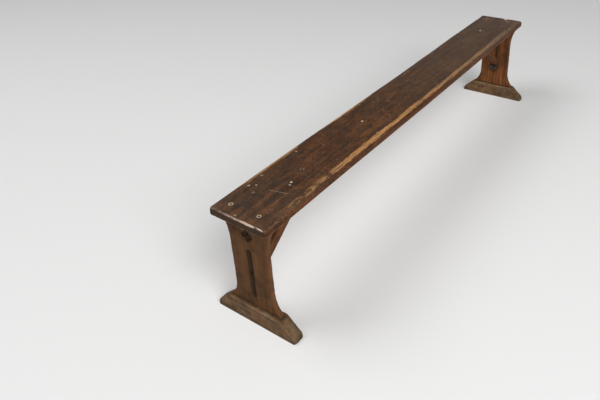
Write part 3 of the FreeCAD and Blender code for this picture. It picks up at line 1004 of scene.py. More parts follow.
@dataclass(frozen=True)
class PlugFinish:
    """A varnished plug whose rim has chipped back to pale wood, most of all over the panels."""

    name: str = "plug_wood"
    heart: Colour = (0.035, 0.02, 0.012)
    rim: Colour = (0.6, 0.46, 0.32)
    paler_from: tuple[float, float] = (0.85, 0.95)

    def material(self) -> bpy.types.Material:
        """Write the finish as a material.

        Returns:
            The finished material.
        """
        shader = ShaderWriter(self.name)
        chip = shader.fade(shader.noise(shader.place, 3 * MM, 3, 0.6), 0.2, 0.8, -0.22, 0.22)
        radius = shader.plus(shader.attribute("radius"), chip)
        whole = shader.fade(shader.size_of(shader.x), *self.paler_from, 0.35, 1.0)
        rings = shader.noise(shader.place, 1.2 * MM, 4, 0.7)
        colour = shader.mix(shader.times(shader.fade(radius, 0.5, 0.72), whole), self.heart, self.rim)
        colour = shader.shaded(0.5, colour, shader.fade(rings, 0.2, 0.8, 0.6, 1.2))
        return shader.surface(colour, 0.5, 0.3, rings, 0.2 * MM)


@dataclass(frozen=True)
class MetalFinish:
    """Old iron or steel, dulled and spotted."""

    name: str
    bright: Colour
    dull: Colour
    roughness: float

    def material(self) -> bpy.types.Material:
        """Write the finish as a material.

        Returns:
            The finished material.
        """
        shader = ShaderWriter(self.name)
        spots = shader.noise(shader.place, 2.5 * MM, 5, 0.7)
        colour = shader.mix(shader.fade(spots, 0.4, 0.65), self.bright, self.dull)
        rough = shader.fade(spots, 0.3, 0.7, self.roughness - 0.1, self.roughness + 0.2)
        return shader.surface(colour, rough, 0.5, spots, 0.15 * MM, metallic=0.85)


# ---------------------------------------------------------------------------
# Sub-assemblies
# ---------------------------------------------------------------------------


@dataclass
class WornWood:
    """A wooden piece made from the frame's own shape, with its arrises worn soft."""

    name: str
    node: str
    finish: WoodFinish
    slot: str
    voxel: float = 2.0 * MM
    depth: float = 0.8 * MM
    toe_depth: float = 0.8 * MM
    toe_from: float = 1.0
    spread: int = 6
    seed: float = 0.0

    def build(self, source: bpy.types.Object) -> bpy.types.Object:
        """Make the worn piece and dress it.

        Args:
            source: the frame's node, which is only copied.

        Returns:
            The finished piece.
        """
        rough = bpy.data.objects.new(f"{self.name}_rough", source.data.copy())
        bpy.context.collection.objects.link(rough)
        rough.name = self.name
        face_outwards(rough)
        piece = modified(rough, "REMESH", mode="VOXEL", voxel_size=self.voxel, use_smooth_shade=True)
        self.wear_down(piece.data)
        piece.data.shade_smooth()
        dressed(piece, self.finish.material(), self.slot, self.node)
        return piece

    def wear_down(self, mesh: bpy.types.Mesh) -> None:
        """Round and chip the arrises, and store where they are.

        Args:
            mesh: the even, dense mesh to change.
        """
        count = len(mesh.vertices)
        places = np.empty(count * 3)
        mesh.vertices.foreach_get("co", places)
        places = places.reshape(-1, 3)
        edges = np.empty(len(mesh.edges) * 2, dtype=int)
        mesh.edges.foreach_get("vertices", edges)
        edges = edges.reshape(-1, 2)
        normals = np.empty(count * 3)
        mesh.vertices.foreach_get("normal", normals)
        normals = normals.reshape(-1, 3)
        bend = self.spread_out(edges, -np.einsum("ij,ij->i", self.pull(edges, places), normals), self.spread)
        scale = 0.055 * self.voxel
        arris = np.clip(bend / scale, 0, 1)
        hollow = np.clip(-bend / scale, 0, 1)
        bite = np.array([self.bite(Vector(place)) for place in places])
        toe = np.clip((np.abs(places[:, 1]) - self.toe_from) / TOE_FADE, 0, 1)
        depth = (self.depth + (self.toe_depth - self.depth) * toe) * np.clip(places[:, 2] / SOLE_FADE, 0, 1)
        moved = places - normals * (arris ** 1.5 * bite * depth)[:, None]
        low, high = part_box(self.node)
        mesh.vertices.foreach_set("co", np.clip(moved, low, high).ravel())
        sideways = self.spread_out(edges, np.abs(normals[:, 1]), 1)
        for name, values in (("arris", arris), ("hollow", hollow), ("sideways", sideways)):
            layer = mesh.attributes.new(name, "FLOAT", "POINT")
            layer.data.foreach_set("value", values.astype(np.float32))
        mesh.update()

    def bite(self, place: Vector) -> float:
        """How deep the wear goes at a place.

        Args:
            place: the place on the piece.

        Returns:
            A share from 0.2 up to about 2 on a chip.
        """
        shifted = place + Vector((self.seed, self.seed, self.seed))
        slow = 0.6 + 0.6 * noise.noise(shifted / 0.04)
        chip = max(0.0, noise.noise(shifted / 0.011) - 0.25)
        return max(0.2, slow) + 2.2 * chip

    @staticmethod
    def pull(edges: np.ndarray, values: np.ndarray) -> np.ndarray:
        """The mean of each vertex's neighbours, less its own value.

        Args:
            edges: pairs of vertex numbers.
            values: one row for each vertex.

        Returns:
            An array like values.
        """
        rows = values.reshape(len(values), -1)
        degree = np.bincount(edges.ravel(), minlength=len(rows)).clip(1)
        total = np.stack([
            np.bincount(edges[:, 0], rows[edges[:, 1], axis], len(rows))
            + np.bincount(edges[:, 1], rows[edges[:, 0], axis], len(rows))
            for axis in range(rows.shape[1])], axis=1)
        return (total / degree[:, None] - rows).reshape(values.shape)

    @classmethod
    def spread_out(cls, edges: np.ndarray, values: np.ndarray, rounds: int) -> np.ndarray:
        """Let a value run out over the mesh, a little further each round.

        Args:
            edges: pairs of vertex numbers.
            values: one for each vertex.
            rounds: how far it runs.

        Returns:
            An array like values.
        """
        for _ in range(rounds):
            values = values + 0.6 * cls.pull(edges, values)
        return values


@dataclass
class Seat:
    """The seat plank, its plugs and the screws under them."""

    low: Vector
    high: Vector
    corner: float = 9 * MM
    nose: float = 7.5 * MM
    under: float = 3 * MM
    station: float = 6 * MM
    chip: float = 3.0 * MM
    sag: float = 3 * MM
    span: float = 0.72
    plug_radius: float = 7.85 * MM
    plug_bore: float = 10 * MM
    screw_bore: float = 2.65 * MM
    housing: float = 6 * MM
    housing_half: Vector = field(default_factory=lambda: Vector((11.2 * MM, 107.2 * MM, 0)))

    def outline(self) -> list[Place]:
        """The plank's plan: straight sides in even steps, with rounded corners.

        Returns:
            A closed loop of points on z = 0.
        """
        half = (self.high - self.low) / 2
        points: list[Place] = []
        corners = ((1, 1, 0), (-1, 1, 90), (-1, -1, 180), (1, -1, 270))
        for sign_x, sign_y, start in corners:
            centre = Vector((sign_x * (half.x - self.corner), sign_y * (half.y - self.corner), 0))
            for step in range(9):
                angle = math.radians(start + 90 * step / 8)
                points.append(tuple(centre + self.corner * Vector((math.cos(angle), math.sin(angle), 0))))
        loop: list[Place] = []
        for here, there in zip(points, points[1:] + points[:1]):
            gap = Vector(there) - Vector(here)
            steps = max(1, round(gap.length / self.station))
            loop += [tuple(Vector(here) + gap * (k / steps)) for k in range(steps)]
        return loop + [loop[0]]

    def profile(self) -> list[Place]:
        """The section from the middle of the top, over the edge, to the middle underneath.

        Returns:
            Points whose x is the distance in from the edge, y the share of wear and z the height.
        """
        middle = (self.high.y - self.low.y) / 2
        top, low = self.high.z - 0.01 * MM, self.low.z
        points = [(middle * share, 0.0, top) for share in (1.0, 0.8, 0.6, 0.42, 0.28, 0.18)]
        points.append((self.nose + 4 * MM, 0.25, top))
        for step in range(9):
            angle = math.radians(90 * step / 8)
            inset = self.nose * (1 - math.sin(angle))
            points.append((inset, 1.0, top - self.nose * (1 - math.cos(angle))))
        straight = top - self.nose - (low + self.under)
        points += [(0.0, weight, top - self.nose - straight * share)
                   for share, weight in ((0.2, 0.6), (0.45, 0.2), (0.7, 0.15), (0.9, 0.3))]
        for step in range(4):
            angle = math.radians(90 * step / 3)
            points.append((self.under * (1 - math.cos(angle)), 0.5, low + self.under * (1 - math.sin(angle))))
        points += [(middle * share, 0.0, low) for share in (0.06, 0.18, 0.4, 0.7, 1.0)]
        return points

    def plank(self, finish: bpy.types.Material) -> bpy.types.Object:
        """The plank as a ruled surface: its section carried round its plan, then chipped.

        Args:
            finish: the plank's material.

        Returns:
            The plank, before its holes are cut.
        """
        loop, section = self.outline(), self.profile()
        outline, profile = poly_curve("plank_outline", loop), poly_curve("plank_profile", section)
        writer = GeometryWriter("worn_plank")
        half = (self.high - self.low) / 2
        plan = writer.take("Plan", "Object", outline)
        edge = writer.take("Section", "Object", profile)
        stations = writer.take("Stations", "Int", len(loop))
        rings = writer.take("Rings", "Int", len(section))
        depth = writer.take("Chip depth", "Float", self.chip)
        spacing = writer.take("Chip spacing", "Float", 26 * MM)
        seed = writer.take("Seed", "Float", 4.2)
        grid = writer.add("GeometryNodeMeshGrid", {"Size X": 1.0, "Size Y": 1.0, "Vertices X": stations,
                                                   "Vertices Y": rings})
        here = writer.add("ShaderNodeSeparateXYZ", {0: writer.add("GeometryNodeInputPosition").outputs[0]})
        around = self.picked(writer, plan, here.outputs[0], stations)
        across = self.picked(writer, edge, here.outputs[1], rings)
        chips = self.chips(writer, around, spacing, seed)
        bite = writer.times(writer.times(across.outputs[1], depth), chips)
        inset = writer.plus(across.outputs[0], bite)
        over = writer.math("GREATER_THAN", across.outputs[2], self.high.z - self.nose)
        height = writer.minus(across.outputs[2],
                             writer.times(over, writer.times(bite, 0.45)))
        axes = [writer.times(around.outputs[axis], writer.minus(1.0, writer.over(inset, half[axis])))
                for axis in (0, 1)]
        sag = writer.take("Sag", "Float", self.sag)
        span = writer.take("Span", "Float", self.span)
        out = writer.over(axes[0], span)
        dip = writer.most(writer.minus(1.0, writer.times(out, out)), 0.0)
        sunk = writer.times(sag, writer.times(dip, dip))
        place = writer.add("ShaderNodeCombineXYZ", {0: axes[0], 1: axes[1],
                                                    2: writer.minus(height, sunk)})
        laid = writer.add("GeometryNodeSetPosition", {"Geometry": grid.outputs[0],
                                                      "Position": place.outputs[0]})
        closed = writer.add("GeometryNodeMergeByDistance", {"Geometry": laid.outputs[0],
                                                            "Distance": 0.01 * MM})
        writer.close(closed.outputs[0], finish)
        piece = writer.bake("seat_plank")
        drop(outline, profile)
        face_outwards(piece)
        return piece

    @staticmethod
    def picked(writer: GeometryWriter, source: Any, share: Any, count: Any) -> bpy.types.Node:
        """Read a helper curve's points in step with one side of the grid.

        Args:
            writer: the tree being written.
            source: the helper object's input.
            share: the place along the grid's side, from -0.5 to 0.5.
            count: how many points the curve has.

        Returns:
            A node whose outputs are the point's x, y and z.
        """
        curve = writer.add("GeometryNodeObjectInfo", {"Object": source})
        last = writer.minus(count, 1.0)
        number = writer.math("ROUND", writer.times(writer.plus(share, 0.5), last))
        sample = writer.add("GeometryNodeSampleIndex", data_type="FLOAT_VECTOR", domain="POINT")
        writer.feed(sample.inputs["Geometry"], curve.outputs["Geometry"])
        writer.feed(sample.inputs["Value"], writer.add("GeometryNodeInputPosition").outputs[0])
        writer.feed(sample.inputs["Index"], number)
        return writer.add("ShaderNodeSeparateXYZ", {0: sample.outputs[0]})

    @staticmethod
    def chips(writer: GeometryWriter, around: bpy.types.Node, spacing: Any, seed: Any) -> Any:
        """How far the edge is worn or chipped back at each station.

        Args:
            writer: the tree being written.
            around: the station's place on the plan.
            spacing: the distance between chips.
            seed: moves the pattern.

        Returns:
            The output that holds a share from 0 to about 1.
        """
        place = writer.add("ShaderNodeCombineXYZ", {0: around.outputs[0], 1: around.outputs[1], 2: seed})
        scale = writer.over(1.0, spacing)
        fine = writer.add("ShaderNodeTexNoise", {"Vector": place.outputs[0], "Scale": scale, "Detail": 3.0})
        slow = writer.add("ShaderNodeTexNoise", {"Vector": place.outputs[0], "Scale": 5.0, "Detail": 1.0})
        chipped = writer.fade(fine.outputs[0], 0.58, 0.78)
        worn = writer.fade(slow.outputs[0], 0.35, 0.7, 0.08, 0.45)
        return writer.plus(worn, writer.times(chipped, 0.55))

    def cutters(self, plugs: Sequence[Vector], panels: Sequence[float]) -> bpy.types.Object:
        """What is taken out of the plank first: the plug bores and the panels' housings.

        Args:
            plugs: the middle of each plug, on top of the seat.
            panels: the x of each end panel's middle.

        Returns:
            A helper mesh for one boolean cut.
        """
        work = bmesh.new()
        for plug in plugs:
            rod(work, Vector((plug.x, plug.y, self.high.z)), self.plug_radius + 0.15 * MM, 2 * self.plug_bore)
        for x in panels:
            centre = Vector((x, 0, self.low.z))
            reach = self.housing_half + Vector((0, 0, self.housing))
            bar(work, centre - reach, centre + reach)
        return helper_mesh("seat_cutters", work)

    def drills(self, plugs: Sequence[Vector]) -> bpy.types.Object:
        """What is taken out second: the screw holes under the plugs.

        Args:
            plugs: the middle of each plug, on top of the seat.

        Returns:
            A helper mesh for one boolean cut.
        """
        work = bmesh.new()
        reach = 2 * (self.high.z - self.low.z) - self.plug_bore
        for plug in plugs:
            rod(work, Vector((plug.x, plug.y, self.low.z)), self.screw_bore, reach)
        return helper_mesh("seat_drills", work)

    def build(self, finish: WoodFinish, plugs: Sequence[Vector], panels: Sequence[float]) -> None:
        """Make the plank, cut its holes and dress it.

        Args:
            finish: the plank's finish.
            plugs: the middle of each plug, on top of the seat.
            panels: the x of each end panel's middle.
        """
        material = finish.material()
        piece = self.plank(material)
        for helper in (self.cutters(plugs, panels), self.drills(plugs)):
            piece = modified(piece, "BOOLEAN", operation="DIFFERENCE", object=helper, solver="EXACT")
            drop(helper)
        smooth_by_angle(piece)
        dressed(piece, material, "seat_varnish", "seat_board")


@dataclass
class Fasteners:
    """The plugs, screws and nails, each kind strewn on its places by one tree."""

    plug_radius: float = 7.85 * MM
    plug_height: float = 9.3 * MM
    plug_dish: float = 0.35 * MM
    shank_radius: float = 2.5 * MM
    head_radius: float = 5.0 * MM
    head_height: float = 3.0 * MM
    point_length: float = 8.0 * MM
    thread_pitch: float = 2.6 * MM
    nail_radius: float = 1.6 * MM
    nail_head: float = 3.2 * MM
    nail_head_height: float = 1.4 * MM
    nail_point: float = 5.0 * MM
    lap: float = 0.3 * MM

    def strewn(self, writer: GeometryWriter, thing: Any, turn: Any) -> Any:
        """Put one thing on every starting point.

        Args:
            writer: the tree being written.
            thing: the geometry to repeat.
            turn: its rotation at each point.

        Returns:
            The output that holds the instances.
        """
        node = writer.add("GeometryNodeInstanceOnPoints", {"Points": writer.entry.outputs[0],
                                                           "Instance": thing, "Rotation": turn})
        return node.outputs[0]

    def chance_turn(self, writer: GeometryWriter, seed: int) -> Any:
        """A random turn about Z for each starting point.

        Args:
            writer: the tree being written.
            seed: the fixed seed.

        Returns:
            The output that holds the turn.
        """
        number = writer.take("Seed", "Int", seed)
        spin = writer.add("FunctionNodeRandomValue", {"Min": (0, 0, 0), "Max": (0, 0, math.tau),
                                                      "Seed": number}, data_type="FLOAT_VECTOR")
        return spin.outputs[0]

    def moved(self, writer: GeometryWriter, thing: Any, z: Any, turn: Sequence[float] = (0, 0, 0)) -> Any:
        """Shift a part along Z, and turn it.

        Args:
            writer: the tree being written.
            thing: the part.
            z: how far it goes up.
            turn: its rotation.

        Returns:
            The output that holds the part.
        """
        shift = writer.add("ShaderNodeCombineXYZ", {2: z})
        node = writer.add("GeometryNodeTransform", {"Geometry": thing, "Translation": shift.outputs[0],
                                                    "Rotation": tuple(turn)})
        return node.outputs[0]

    def cone(self, writer: GeometryWriter, top: Any, base: Any, depth: Any, sides: int) -> Any:
        """A cone or cylinder that stands on z = 0.

        Args:
            writer: the tree being written.
            top: the radius of its top.
            base: the radius of its base.
            depth: its height.
            sides: how many sides it has.

        Returns:
            The output that holds it.
        """
        node = writer.add("GeometryNodeMeshCone", {"Vertices": sides, "Radius Top": top,
                                                   "Radius Bottom": base, "Depth": depth})
        return node.outputs[0]

    def fused(self, writer: GeometryWriter, parts: Sequence[Any]) -> Any:
        """Several touching parts as one closed solid.

        Args:
            writer: the tree being written.
            parts: the closed parts.

        Returns:
            The output that holds the solid.
        """
        node = writer.add("GeometryNodeMeshBoolean", operation="UNION", solver="EXACT")
        for part in parts:
            writer.tree.links.new(part, node.inputs["Mesh 2"])
        return node.outputs[0]

    def joined(self, writer: GeometryWriter, parts: Sequence[Any]) -> Any:
        """Several parts as one geometry.

        Args:
            writer: the tree being written.
            parts: the parts.

        Returns:
            The output that holds them.
        """
        node = writer.add("GeometryNodeJoinGeometry")
        for part in parts:
            writer.tree.links.new(part, node.inputs[0])
        return node.outputs[0]

    def plugs(self, places: Sequence[Vector], finish: bpy.types.Material) -> bpy.types.Object:
        """Wooden plugs: thick discs, dished where they have shrunk.

        Args:
            places: the middle of the seat's surface over each plug.
            finish: their material.

        Returns:
            All the plugs as one piece.
        """
        writer = GeometryWriter("wooden_plug")
        radius = writer.take("Radius", "Float", self.plug_radius)
        height = writer.take("Height", "Float", self.plug_height)
        dish = writer.take("Dish", "Float", self.plug_dish)
        disc = writer.add("GeometryNodeMeshCylinder", {"Vertices": 48, "Side Segments": 3, "Fill Segments": 8,
                                                       "Radius": radius, "Depth": height})
        place = writer.add("GeometryNodeInputPosition").outputs[0]
        parts = writer.add("ShaderNodeSeparateXYZ", {0: place})
        flat = writer.add("ShaderNodeCombineXYZ", {0: parts.outputs[0], 1: parts.outputs[1]})
        length = writer.add("ShaderNodeVectorMath", {0: flat.outputs[0]}, operation="LENGTH").outputs["Value"]
        share = writer.over(length, radius)
        upper = writer.math("GREATER_THAN", parts.outputs[2], 0.0)
        sink = writer.times(dish, writer.minus(1.0, writer.math("POWER", share, 2.0)))
        edge = writer.times(dish, writer.fade(share, 0.88, 1.0))
        drop_by = writer.times(writer.plus(sink, edge), writer.times(upper, -1.0))
        offset = writer.add("ShaderNodeCombineXYZ", {2: drop_by})
        dished = writer.add("GeometryNodeSetPosition", {"Geometry": disc.outputs["Mesh"],
                                                        "Offset": offset.outputs[0]})
        marked = writer.add("GeometryNodeStoreNamedAttribute", {"Geometry": dished.outputs[0],
                                                                "Name": "radius", "Value": share})
        centred = self.moved(writer, marked.outputs[0], writer.times(height, -0.5))
        writer.close(self.strewn(writer, centred, self.chance_turn(writer, 5)), finish)
        return writer.bake("seat_plugs", places)

    def screws(self, name: str, length: float, places: Sequence[Vector],
               finish: bpy.types.Material) -> bpy.types.Object:
        """Slotted countersunk screws with a real thread, pointing down.

        Args:
            name: the piece's name.
            length: overall length of each screw.
            places: the top of each head.
            finish: their material.

        Returns:
            All the screws as one piece.
        """
        writer = GeometryWriter(f"{name}_tree")
        long = writer.take("Length", "Float", length)
        shank = writer.take("Shank radius", "Float", self.shank_radius)
        head = writer.take("Head radius", "Float", self.head_radius)
        depth = writer.take("Head height", "Float", self.head_height)
        point = writer.take("Point length", "Float", self.point_length)
        core = writer.times(shank, 0.76)
        body = writer.minus(writer.minus(long, depth), point)
        sunk = self.moved(writer, self.cone(writer, head, shank, depth, 32), writer.times(depth, -1.0))
        slot = writer.add("GeometryNodeMeshCube", {"Size": (0.02, 1.4 * MM, 3.0 * MM)})
        slotted = writer.add("GeometryNodeMeshBoolean", operation="DIFFERENCE", solver="EXACT")
        writer.tree.links.new(sunk, slotted.inputs["Mesh 1"])
        writer.tree.links.new(slot.outputs[0], slotted.inputs["Mesh 2"])
        foot_z = writer.times(writer.plus(depth, body), -1.0)
        stem = self.moved(writer, self.cone(writer, core, core, body, 24), foot_z)
        tip = self.moved(writer, self.cone(writer, core, 0.15 * MM, point, 24),
                         writer.times(long, -1.0))
        turns = writer.over(writer.times(body, 0.66), self.thread_pitch)
        helix = writer.add("GeometryNodeCurveSpiral", {"Resolution": 20, "Rotations": turns,
                                                       "Start Radius": core, "End Radius": core,
                                                       "Height": writer.times(body, 0.66)})
        ridge = writer.add("GeometryNodeCurvePrimitiveCircle", {"Resolution": 3, "Radius": 0.55 * MM})
        swept = writer.add("GeometryNodeCurveToMesh", {"Curve": helix.outputs[0],
                                                       "Profile Curve": ridge.outputs[0],
                                                       "Fill Caps": True})
        thread = self.moved(writer, swept.outputs[0], foot_z)
        whole = self.joined(writer, (self.fused(writer, (slotted.outputs[0], stem, tip)), thread))
        writer.close(self.strewn(writer, whole, self.chance_turn(writer, 11)), finish)
        return writer.bake(name, places)

    def nails(self, name: str, end: End, length: float, places: Sequence[Vector],
              finish: bpy.types.Material) -> bpy.types.Object:
        """Rose-headed nails laid level, with their points towards the end of the bench.

        Args:
            name: the piece's name.
            end: the end of the bench that they point to.
            length: overall length of each nail.
            places: the top of each head.
            finish: their material.

        Returns:
            All the nails as one piece.
        """
        writer = GeometryWriter(f"{name}_tree")
        long = writer.take("Length", "Float", length)
        shank = writer.take("Shank radius", "Float", self.nail_radius)
        head = writer.take("Head radius", "Float", self.nail_head)
        thick = writer.take("Head height", "Float", self.nail_head_height)
        point = writer.take("Point length", "Float", self.nail_point)
        low = writer.times(thick, 0.45)
        crown_depth = writer.times(thick, 0.65)
        crown = self.moved(writer, self.cone(writer, writer.times(head, 0.35),
                                             writer.times(head, 0.97), crown_depth, 8),
                           writer.times(crown_depth, -1.0))
        flange = self.moved(writer, self.cone(writer, head, writer.times(head, 0.8), low, 8),
                            writer.times(thick, -1.0))
        body = writer.minus(writer.minus(long, thick), point)
        stem_z = writer.times(writer.plus(thick, body), -1.0)
        stem = self.moved(writer, self.cone(writer, shank, shank, writer.plus(body, self.lap), 16), stem_z)
        tip = self.moved(writer, self.cone(writer, writer.times(shank, 0.99), 0.1 * MM,
                                           writer.plus(point, self.lap), 16),
                         writer.times(long, -1.0))
        whole = self.joined(writer, (crown, flange, stem, tip))
        lay = math.radians(90 if end is End.LEFT else -90)
        laid = self.moved(writer, whole, 0.0, (0, lay, 0))
        writer.close(self.strewn(writer, laid, (0, 0, 0)), finish)
        return writer.bake(name, places)


@dataclass
class Bench:
    """The whole bench, read from the frame and dressed piece by piece."""

    frame: dict[str, Any]
    plug_sunk: float = 0.7 * MM
    # how far the painted shade reaches below the seat
    grime_depth: float = 48 * MM

    def corners(self, node: str) -> tuple[Vector, Vector]:
        """The lowest and highest corners of a node's box."""
        low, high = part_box(node)
        return Vector(low), Vector(high)

    def middle(self, node: str) -> Vector:
        """The middle of a node's box."""
        low, high = self.corners(node)
        return (low + high) / 2

    def top_places(self, end: End) -> list[Vector]:
        """Where the plugs of one end come to the seat's surface.

        Args:
            end: the end of the bench.

        Returns:
            The middle of each plug, over the panel first and then over the brace.
        """
        top = self.corners("seat_board")[1].z
        low, high = self.corners(end.node("seat_plugs"))
        radius = (high.x - low.x) / 2
        brace = self.middle(end.node("brace_plug"))
        over_panel = [Vector((low.x + radius, y, top)) for y in (high.y - radius, low.y + radius)]
        return over_panel + [Vector((brace.x, brace.y, top))]

    def nail_places(self, end: End, node: str) -> list[Vector]:
        """Where the heads of a pair of nails are.

        Args:
            end: the end of the bench.
            node: which nails.

        Returns:
            The top of each head.
        """
        low, high = self.corners(end.node(node))
        x = high.x if end is End.LEFT else low.x
        inset = (high.z - low.z) / 2
        return [Vector((x, y, (low.z + high.z) / 2)) for y in (low.y + inset, high.y - inset)]

    def make_seat(self) -> None:
        """Build the plank with its plugs and screws."""
        low, high = self.corners("seat_board")
        half = (high - low) / 2
        finish = SeatFinish(
            name="seat_varnish", deep=(0.04, 0.015, 0.005), body=(0.108, 0.04, 0.011),
            bare=(0.56, 0.275, 0.1), dirt=(0.03, 0.017, 0.009), grain=Grain.ALONG_SEAT, specular=0.1,
            half_length=half.x, half_width=half.y, top=high.z, thickness=2 * half.z)
        places = [place for end in End for place in self.top_places(end)]
        panels = [self.middle(end.node("end_panel")).x for end in End]
        Seat(low, high).build(finish, places, panels)
        self.make_plugs(places)
        self.make_screws(places)

    def make_plugs(self, places: Sequence[Vector]) -> None:
        """Build the plugs that fill the seat's bores.

        Args:
            places: the middle of the seat's surface over each plug.
        """
        wood = PlugFinish().material()
        sunk = [place - Vector((0, 0, self.plug_sunk)) for place in places]
        plugs = Fasteners().plugs(sunk, wood)
        smooth_by_angle(plugs)
        nodes = [end.node(name) for end in End for name in ("seat_plugs", "brace_plug")]
        dressed(plugs, wood, "plug_wood", *nodes)

    def make_screws(self, places: Sequence[Vector]) -> None:
        """Build the screws under the plugs.

        Args:
            places: the middle of the seat's surface over each plug, three for each end.
        """
        steel = MetalFinish("old_screw_steel", (0.34, 0.33, 0.31), (0.16, 0.12, 0.09), 0.45).material()
        over_braces = places[2::3]
        over_panels = [place for place in places if place not in over_braces]
        for name, node, above in (("seat_screws", "seat_screws", over_panels),
                                  ("brace_screws", "brace_screw", over_braces)):
            low, high = self.corners(End.LEFT.node(node))
            heads = [Vector((place.x, place.y, high.z)) for place in above]
            piece = Fasteners().screws(name, high.z - low.z, heads, steel)
            smooth_by_angle(piece)
            dressed(piece, steel, "screw_steel", *[end.node(node) for end in End])

    def panel(self, end: End) -> WornWood:
        """The end panel, redder and darker edged at the right end.

        Args:
            end: which end it is at.

        Returns:
            The piece, ready to build.
        """
        low, high = self.corners(end.node("end_panel"))
        middle, half = abs(low.x + high.x) / 2, (high.x - low.x) / 2
        left = end is End.LEFT
        finish = WoodFinish(
            end.node("panel_stain"), deep=(0.07, 0.026, 0.01),
            body=(0.2, 0.078, 0.025) if left else (0.265, 0.092, 0.026),
            bare=(0.09, 0.045, 0.02) if left else (0.045, 0.022, 0.01), dirt=(0.05, 0.028, 0.014),
            grain=Grain.UPRIGHT, roughness=0.6, specular=0.1, wear=0.3,
            arris_share=0.4 if left else 0.75, contrast=0.45 if left else 0.9,
            side_tint=(0.95, 1.05, 1.25), outside=(0.75, 0.8, 0.72), outside_from=middle + half - 1.5 * MM,
            sunk_from=middle + half, joint_z=self.corners(end.node("foot"))[1].z, toe_middle=middle,
            grime_from=high.z - self.grime_depth)
        return WornWood(end.node("panel"), end.node("end_panel"), finish, "panel_oak", seed=1.7)

    def foot(self, end: End) -> WornWood:
        """The foot, its toes worn rounder at the right end.

        Args:
            end: which end it is at.

        Returns:
            The piece, ready to build.
        """
        finish = WoodFinish(
            end.node("foot_stain"), deep=(0.06, 0.029, 0.013), body=(0.175, 0.087, 0.037),
            bare=(0.27, 0.19, 0.11), dirt=(0.045, 0.03, 0.018), grain=Grain.ACROSS_SEAT, roughness=0.7,
            specular=0.1, wear=0.45, arris_share=0.8, worn_until=0.115, toe_from=0.13,
            toe_middle=abs(self.middle(end.node("end_panel")).x), joint_z=self.corners(end.node("foot"))[1].z,
            dust=(0.23, 0.165, 0.1), dust_share=0.42)
        toe_depth = 2.2 * MM if end is End.LEFT else 6 * MM
        return WornWood(end.node("sledge_foot"), end.node("foot"), finish, "foot_oak", depth=1.4 * MM,
                        toe_depth=toe_depth, toe_from=0.105, seed=5.1)

    def brace(self, end: End) -> WornWood:
        """The slanting brace.

        Args:
            end: which end it is at.

        Returns:
            The piece, ready to build.
        """
        finish = WoodFinish(
            end.node("brace_stain"), deep=(0.07, 0.028, 0.011), body=(0.19, 0.07, 0.023),
            bare=(0.24, 0.12, 0.05), dirt=(0.06, 0.03, 0.014), wear=0.3, roughness=0.6, specular=0.1,
            grain=Grain.LEFT_BRACE if end is End.LEFT else Grain.RIGHT_BRACE)
        return WornWood(end.node("slanting_brace"), end.node("brace"), finish, "brace_oak",
                        voxel=1.6 * MM, seed=9.4)

    def stop_block(self, end: End) -> WornWood:
        """The dark block under the brace's toe.

        Args:
            end: which end it is at.

        Returns:
            The piece, ready to build.
        """
        finish = WoodFinish(
            end.node("stop_stain"), deep=(0.02, 0.014, 0.01), body=(0.06, 0.04, 0.028),
            bare=(0.12, 0.075, 0.05), dirt=(0.012, 0.009, 0.007), grain=Grain.ACROSS_SEAT,
            roughness=0.65, specular=0.1)
        return WornWood(end.node("stop_block"), end.node("brace_stop"), finish, "stop_wood",
                        voxel=1.0 * MM, seed=13.0)

    def make_end(self, end: End) -> None:
        """Build the panel, foot, brace, stop block, wedges and nails of one end.

        Args:
            end: which end to build.
        """
        for piece in (self.panel(end), self.foot(end), self.brace(end), self.stop_block(end)):
            piece.build(self.frame["nodes"][piece.node])
        wedge = WoodFinish(end.node("wedge_ash"), deep=(0.2, 0.12, 0.06), body=(0.36, 0.24, 0.13),
                           bare=(0.4, 0.28, 0.16), dirt=(0.1, 0.06, 0.03), grain=Grain.UPRIGHT, roughness=0.7)
        self.repaint(end.node("tenon_wedges"), wedge.material())
        self.make_nails(end)

    def repaint(self, node: str, finish: bpy.types.Material) -> None:
        """Give a node of the frame a new material.

        Args:
            node: the node's name.
            finish: its new material.
        """
        target = self.frame["nodes"][node]
        target.data.materials.clear()
        target.data.materials.append(finish)
        LOG.info("%s: kept from the frame, repainted", node)

    def make_nails(self, end: End) -> None:
        """Build the nails of one end.

        Args:
            end: which end they are at.
        """
        iron = MetalFinish(end.node("nail_iron"), (0.3, 0.29, 0.28), (0.09, 0.075, 0.065), 0.5).material()
        for node in ("brace_nails", "stop_nails"):
            low, high = self.corners(end.node(node))
            name = f"{end.node(node)}_forged"
            piece = Fasteners().nails(name, end, high.x - low.x, self.nail_places(end, node), iron)
            smooth_by_angle(piece, 30)
            dressed(piece, iron, "nail_iron", end.node(node))


# ---------------------------------------------------------------------------
# Studio
# ---------------------------------------------------------------------------


@dataclass(frozen=True)
class Softbox:
    """One square light turned to the bench."""

    name: str
    place: tuple[float, float, float]
    size: float
    power: float

    def hang(self) -> None:
        """Put the light in the scene."""
        data = bpy.data.lights.new(self.name, "AREA")
        data.shape = "SQUARE"
        data.size = self.size
        data.energy = self.power
        light = bpy.data.objects.new(self.name, data)
        bpy.context.collection.objects.link(light)
        light.location = self.place
        towards = Vector((0, 0, 0.4)) - Vector(self.place)
        light.rotation_mode = "QUATERNION"
        light.rotation_quaternion = towards.to_track_quat("-Z", "Y")


